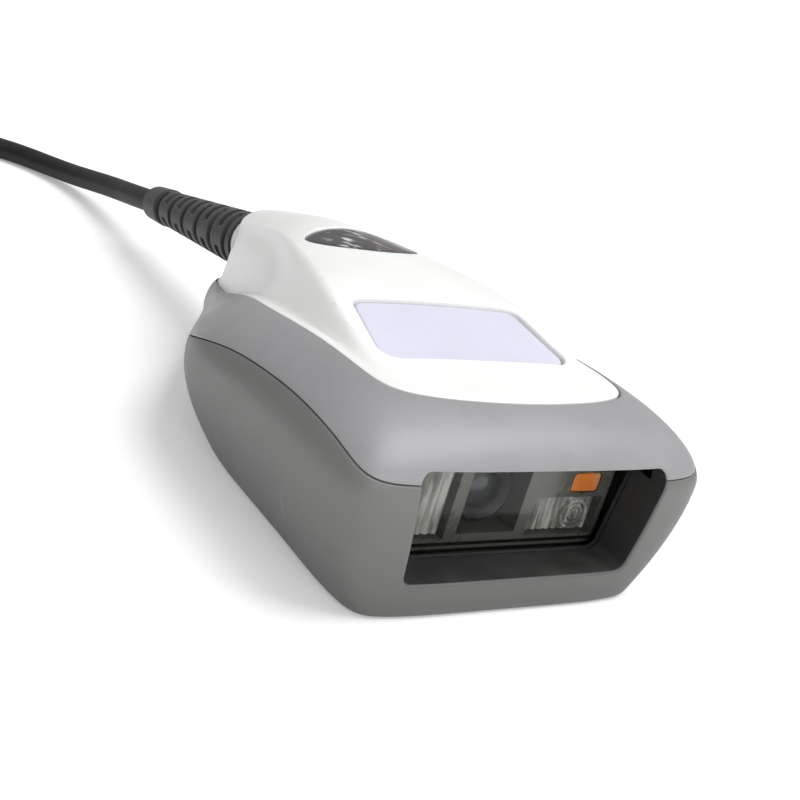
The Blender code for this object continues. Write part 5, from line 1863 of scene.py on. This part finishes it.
@dataclass
class Cord:
    """USB lead: out of the boot, down to the table and wound into a neat coil, with its plug beside it."""

    palette: Palette
    boot: StrainRelief
    radius: float = 2.3
    centre: Pair = (-63.0, 124.0)
    columns: tuple[float, ...] = (18.6, 23.2, 27.8)
    layers: int = 4
    plug_start: float = 80.0
    plug_z: float = 4.0
    grip_length: float = 25.0
    change: float = math.radians(110)
    route: tuple[Triple, ...] = (
        (0, 100, 8.6), (-0.3, 111, 6.5), (-1.4, 121, 4.5), (-3.6, 130, 3.0), (-7.6, 138.5, 2.4),
        (-13.5, 145.5, 2.3), (-22, 149.8, 2.3), (-33, 150.6, 2.3), (-46.05, 151.75, 2.3))

    def turns(self) -> list[Pair]:
        """(radius, height) of each turn: out to in, then in to out one layer up, and so on."""
        made: list[Pair] = []
        for layer in range(self.layers):
            order = self.columns[::-1] if layer % 2 == 0 else self.columns
            made += [(column, self.radius * (1 + 2 * layer)) for column in order]
        return made

    def coil(self) -> np.ndarray:
        """Centreline of the wound part, from its outer side at +Y round to its -X side."""
        turns = self.turns()
        points = []
        per_turn = 48
        whole = len(turns) - 1
        for k in range(int((whole + 0.25) * per_turn) + 1):
            turn, within = divmod(k, per_turn)
            angle = within / per_turn * math.tau
            radius, height = turns[turn]
            share = (angle - (math.tau - self.change)) / self.change
            if share > 0 and turn < whole:
                share = share * share * (3 - 2 * share)
                next_radius, next_height = turns[turn + 1]
                radius += (next_radius - radius) * share
                height += (next_height - height) * math.sqrt(2 * share - share * share)
            turn_angle = angle + math.pi / 2
            points.append((self.centre[0] + radius * math.cos(turn_angle),
                           self.centre[1] + radius * math.sin(turn_angle), height))
        return np.array(points)

    def path(self) -> np.ndarray:
        """Whole centreline from the boot to the plug, in millimetres."""
        lead = smooth_path([tuple(self.boot.point(self.boot.length - 1.0)), *self.route], 3.0)
        left = self.centre[0] - self.columns[-1]
        tail = [(left, 124.0, 16.1), (left, 118, 16.1), (left, 113, 15.9), (left, 108, 14.6),
                (left, 103, 11.9), (left, 98, 8.6), (left, 93, 6.0), (left, 88, 4.5), (left, 84, 4.0),
                (left, self.plug_start - 0.5, 4.0)]
        tail_path = smooth_path(tail, 2.5)
        whole = np.concatenate([lead, self.coil(), tail_path[1:]])
        for _ in range(3):
            middle = (whole[:-2] + 2 * whole[1:-1] + whole[2:]) / 4
            whole = np.concatenate([whole[:1], middle, whole[-1:]])
        return whole

    def lead_curve(self, path: np.ndarray) -> Object:
        """The cord as a round curve.

        Args:
            path: centreline of the cord.

        Returns:
            The curve object.
        """
        curve = bpy.data.curves.new("usb_lead", "CURVE")
        curve.dimensions = "3D"
        curve.bevel_depth = self.radius * MM
        curve.bevel_resolution = 5
        curve.use_fill_caps = True
        spline = curve.splines.new("POLY")
        spline.points.add(len(path) - 1)
        spline.points.foreach_set("co", np.column_stack([path * MM, np.ones(len(path))]).ravel())
        spline.use_smooth = True
        curve.materials.append(self.palette["cord_jacket"])
        return new_object("usb_lead", curve)

    def overmould(self, x: float) -> Object:
        """Plug's moulded grip with side ridges and a ribbed neck.

        Args:
            x: X of the plug's axis.

        Returns:
            The grip.
        """
        rings = []
        middle = self.plug_z
        stages = [(0.0, 2.6, 2.5), (0.3, 3.4, 3.0), (1.6, 3.6, 3.1), (1.9, 3.2, 2.8), (2.8, 3.2, 2.8),
                  (3.1, 3.9, 3.3), (4.4, 4.0, 3.4), (4.7, 3.5, 3.0), (5.6, 3.5, 3.0), (5.9, 4.6, 3.5),
                  (7.0, 6.2, 3.8), (8.2, 7.3, 3.95), (10.0, 7.7, 4.0)]
        stages += [(10.0 + k * 0.25, 7.7 - 0.35 * (1 - math.cos(k * 0.9)), 4.0) for k in range(1, 50)]
        stages += [(23.0, 7.8, 4.0), (24.3, 7.8, 4.0), (24.75, 7.6, 3.8), (25.0, 7.2, 3.4)]
        for back, half_x, half_z in stages:
            outline = rounded_box((-half_x, middle - half_z), (half_x, middle + half_z), 0,
                                  min(1.8, half_z * 0.6), 8)
            rings.append(np.column_stack([outline[:, 0] + x, np.full(len(outline), self.plug_start - back),
                                          outline[:, 1]]))
        grip = mesh_object("plug_grip", stacked(rings), [self.palette["plug_plastic"]])
        return fit(grip, Body.HOUSING, "plug_plastic", ["plug_overmould"], 40.0)

    def shell(self, x: float) -> Object:
        """Stamped steel shell with its four latch windows.

        Args:
            x: X of the plug's axis.

        Returns:
            The steel shell.
        """
        front = self.plug_start - self.grip_length - GAP

        def outline(grow: float) -> np.ndarray:
            """Cross-section of the shell, grown by a distance."""
            return rounded_box((x - 6, 1.75), (x + 6, 6.25), grow, 0.6, 5)

        tube = soft_prism(outline, front - 12, front, 0.12, Lift.FRONT)
        shell = mesh_object("plug_steel_shell", tube, [self.palette["plug_steel"]])
        combine(shell, stacked([level_ring(outline(-0.4), y, Lift.FRONT) for y in (front - 13, front - 0.8)]))
        windows = [block((x + side * 3.0 - 1.2, front - 7.6, low),
                         (x + side * 3.0 + 1.2, front - 5.2, low + 2))
                   for side in (-1, 1) for low in (5.2, 0.9)]
        combine(shell, joined(windows))
        return fit(shell, Body.HOUSING, "plug_steel", ["plug_shell"], 30.0)

    def tongue(self, x: float) -> Object:
        """Insulating tongue with its four contacts.

        Args:
            x: X of the plug's axis.

        Returns:
            The tongue and its contacts.
        """
        front = self.plug_start - self.grip_length - GAP
        solid = brick((x - 5.2, front - 11.4, 2.5), (x + 5.2, front - 1.1, 4.1), 0.15)
        tongue = mesh_object("plug_contact_tongue", solid, [self.palette["plug_insulator"]])
        grow(tongue, self.contact_tree(),
             {"Count": 4, "Start": ((x - 3.45) * MM, (front - 6.4) * MM, 4.12 * MM),
              "Pitch": (2.3 * MM, 0, 0), "Contact": (1.1 * MM, 7.4 * MM, 0.16 * MM),
              "Finish": self.palette.contact})
        return fit(tongue, Body.HOUSING, "plug_insulator", ["plug_tongue"])

    def contact_tree(self) -> NodeTree:
        """Geometry tree that adds a row of contacts to a tongue."""
        graph, source = new_group("contact_row", "Geometry",
                                  {"Geometry": "Geometry", "Count": "Int", "Start": "Vector",
                                   "Pitch": "Vector", "Contact": "Vector", "Finish": "Material"},
                                  {"Geometry": "Geometry"})
        line = graph.add("GeometryNodeMeshLine", {"Count": source["Count"], "Start Location": source["Start"],
                                                  "Offset": source["Pitch"]}).outputs[0]
        bar = graph.add("GeometryNodeMeshCube", {"Size": source["Contact"]}).outputs[0]
        placed = graph.add("GeometryNodeInstanceOnPoints", {"Points": line, "Instance": bar}).outputs[0]
        gilt = graph.realized(placed, source["Finish"])
        both = graph.add("GeometryNodeJoinGeometry")
        for socket in (gilt, source["Geometry"]):
            graph.tree.links.new(socket, both.inputs[0])
        graph.add("NodeGroupOutput", {"Geometry": both.outputs[0]})
        return graph.tree

    def build(self, boot: Object) -> list[Object]:
        """Lead and plug of the cord, each riding on the housing.

        Args:
            boot: the strain relief, which sits on the cord; not used.

        Returns:
            The lead and the plug's pieces.
        """
        path = self.path()
        lead = fit(self.lead_curve(path), Body.HOUSING, "cord_jacket", ["cord", "cord_coil", "cord_tail"])
        x = self.centre[0] - self.columns[-1]
        ends = [self.overmould(x), self.shell(x), self.tongue(x)]
        start = self.boot.point(self.boot.length)
        return [lead, *ends]


# ---------------- carried-over nodes


def dress_nodes(palette: Palette) -> list[str]:
    """Give every frame node that still shows its own finish, from the record's slots.

    Args:
        palette: the finishes.

    Returns:
        Names of the nodes that were dressed.
    """
    dressed = []
    for row in frame["record"]["subparts"]:
        node = frame["nodes"][row["node"]]
        if node.hide_render:
            continue
        node.data.materials.clear()
        node.data.materials.append(palette[row["material_slot"]])
        dressed.append(row["node"])
    return dressed


# ---------------- studio


@dataclass
class Studio:
    """Pale floor, soft lights and the camera."""

    camera_place: Triple = (-0.122595, -0.166702, 0.090895)
    camera_right: Triple = (0.819707, -0.505667, 0.269037)
    camera_up: Triple = (-0.017789, 0.447001, 0.894357)
    camera_back: Triple = (-0.572507, -0.737896, 0.357415)
    lens: float = 63.0
    floor_reach: float = 6.0

    def camera(self) -> None:
        """Camera at the product view."""
        data = bpy.data.cameras.new("product_camera")
        data.lens = self.lens
        data.sensor_width = 36.0
        data.clip_start = 0.01
        data.clip_end = 50.0
        obj = new_object("product_camera", data)
        turn = Matrix((self.camera_right, self.camera_up, self.camera_back)).transposed()
        obj.matrix_world = Matrix.Translation(self.camera_place) @ turn.to_4x4()
        bpy.context.scene.camera = obj

    def floor(self) -> None:
        """Plain pale floor, a hair below the scanner's base."""
        half = self.floor_reach / MM
        outline = np.array([(-half, -half), (half, -half), (half, half), (-half, half)])
        solid = Solid(level_ring(outline, -0.05), [(0, 1, 2, 3)])
        material = bpy.data.materials.new("pale_floor")
        material.use_nodes = True
        graph = Graph(material.node_tree)
        shader = material.node_tree.nodes["Principled BSDF"]
        place = graph.add("ShaderNodeTexCoord").outputs["Object"]
        tone = graph.ranged(graph.noise(place, 3.0, 3.0), 0.3, 0.7)
        graph.tree.links.new(graph.blend(tone, (0.86, 0.86, 0.86, 1), (0.88, 0.88, 0.88, 1)),
                             shader.inputs["Base Color"])
        shader.inputs["Roughness"].default_value = 0.7
        shader.inputs["Specular IOR Level"].default_value = 0.2
        away = graph.add("ShaderNodeVectorMath", {0: place}, operation="LENGTH").outputs["Value"]
        glow = graph.blend(graph.ranged(away, 0.15, 0.6), (0.26, 0.26, 0.26, 1), (0.56, 0.56, 0.56, 1))
        graph.tree.links.new(glow, shader.inputs["Emission Color"])
        shader.inputs["Emission Strength"].default_value = 1.0
        plane = mesh_object("studio_floor", solid, [material])
        for polygon in plane.data.polygons:
            if polygon.normal.z < 0:
                plane.data.flip_normals()
                break

    def light(self, name: str, place: Triple, target: Triple, size: float, power: float) -> None:
        """A square soft light that looks at a target.

        Args:
            name: the light's name.
            place: where it stands.
            target: point that it looks at.
            size: length of its side.
            power: power in watts.
        """
        data = bpy.data.lights.new(name, "AREA")
        data.shape = "SQUARE"
        data.size = size
        data.energy = power
        obj = new_object(name, data)
        obj.location = place
        obj.rotation_mode = "QUATERNION"
        obj.rotation_quaternion = (Vector(target) - Vector(place)).to_track_quat("-Z", "Y")

    def world(self) -> None:
        """Even pale surround."""
        world = bpy.data.worlds.new("studio_surround")
        world.use_nodes = True
        background = world.node_tree.nodes["Background"]
        background.inputs["Color"].default_value = (1.0, 1.0, 1.0, 1)
        background.inputs["Strength"].default_value = 0.5
        bpy.context.scene.world = world

    def build(self) -> None:
        """The whole set."""
        self.camera()
        self.floor()
        self.world()
        middle = (0.0, 0.0, 0.015)
        self.light("overhead_softbox", (0.25, -0.15, 0.7), middle, 0.5, 4.2)
        self.light("front_softbox", (-0.1, -0.75, 0.3), (0.0, -0.04, 0.012), 0.35, 1.5)
        scene = bpy.context.scene
        scene.view_settings.view_transform = "Standard"
        scene.view_settings.look = "None"


def main() -> None:
    """Build the scanner, its cord and the set, in order, and report each piece."""
    logging.basicConfig(level=logging.INFO, format="%(name)s: %(message)s", stream=sys.stdout)
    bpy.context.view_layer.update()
    Studio().build()
    palette = Palette()
    form, openings = HousingForm(), Openings()
    boot_maker = StrainRelief(palette)
    boot = boot_maker.build()
    pieces = [boot, *Cord(palette, boot_maker).build(boot)]
    shells = HousingShells(form, openings, palette)
    pieces += shells.build()
    key = TriggerKey(form, openings, palette)
    pieces += [key.build(), key.pad()]
    pieces.append(Indicator(form, openings, palette).build())
    pieces += ScanOptics(openings, palette).build()
    pieces += ScrewSet(palette, shells).build()
    carried = dress_nodes(palette)
    LOG.info("%d pieces made, %d nodes dressed", len(pieces), len(carried))


if __name__ == "__main__":
    main()
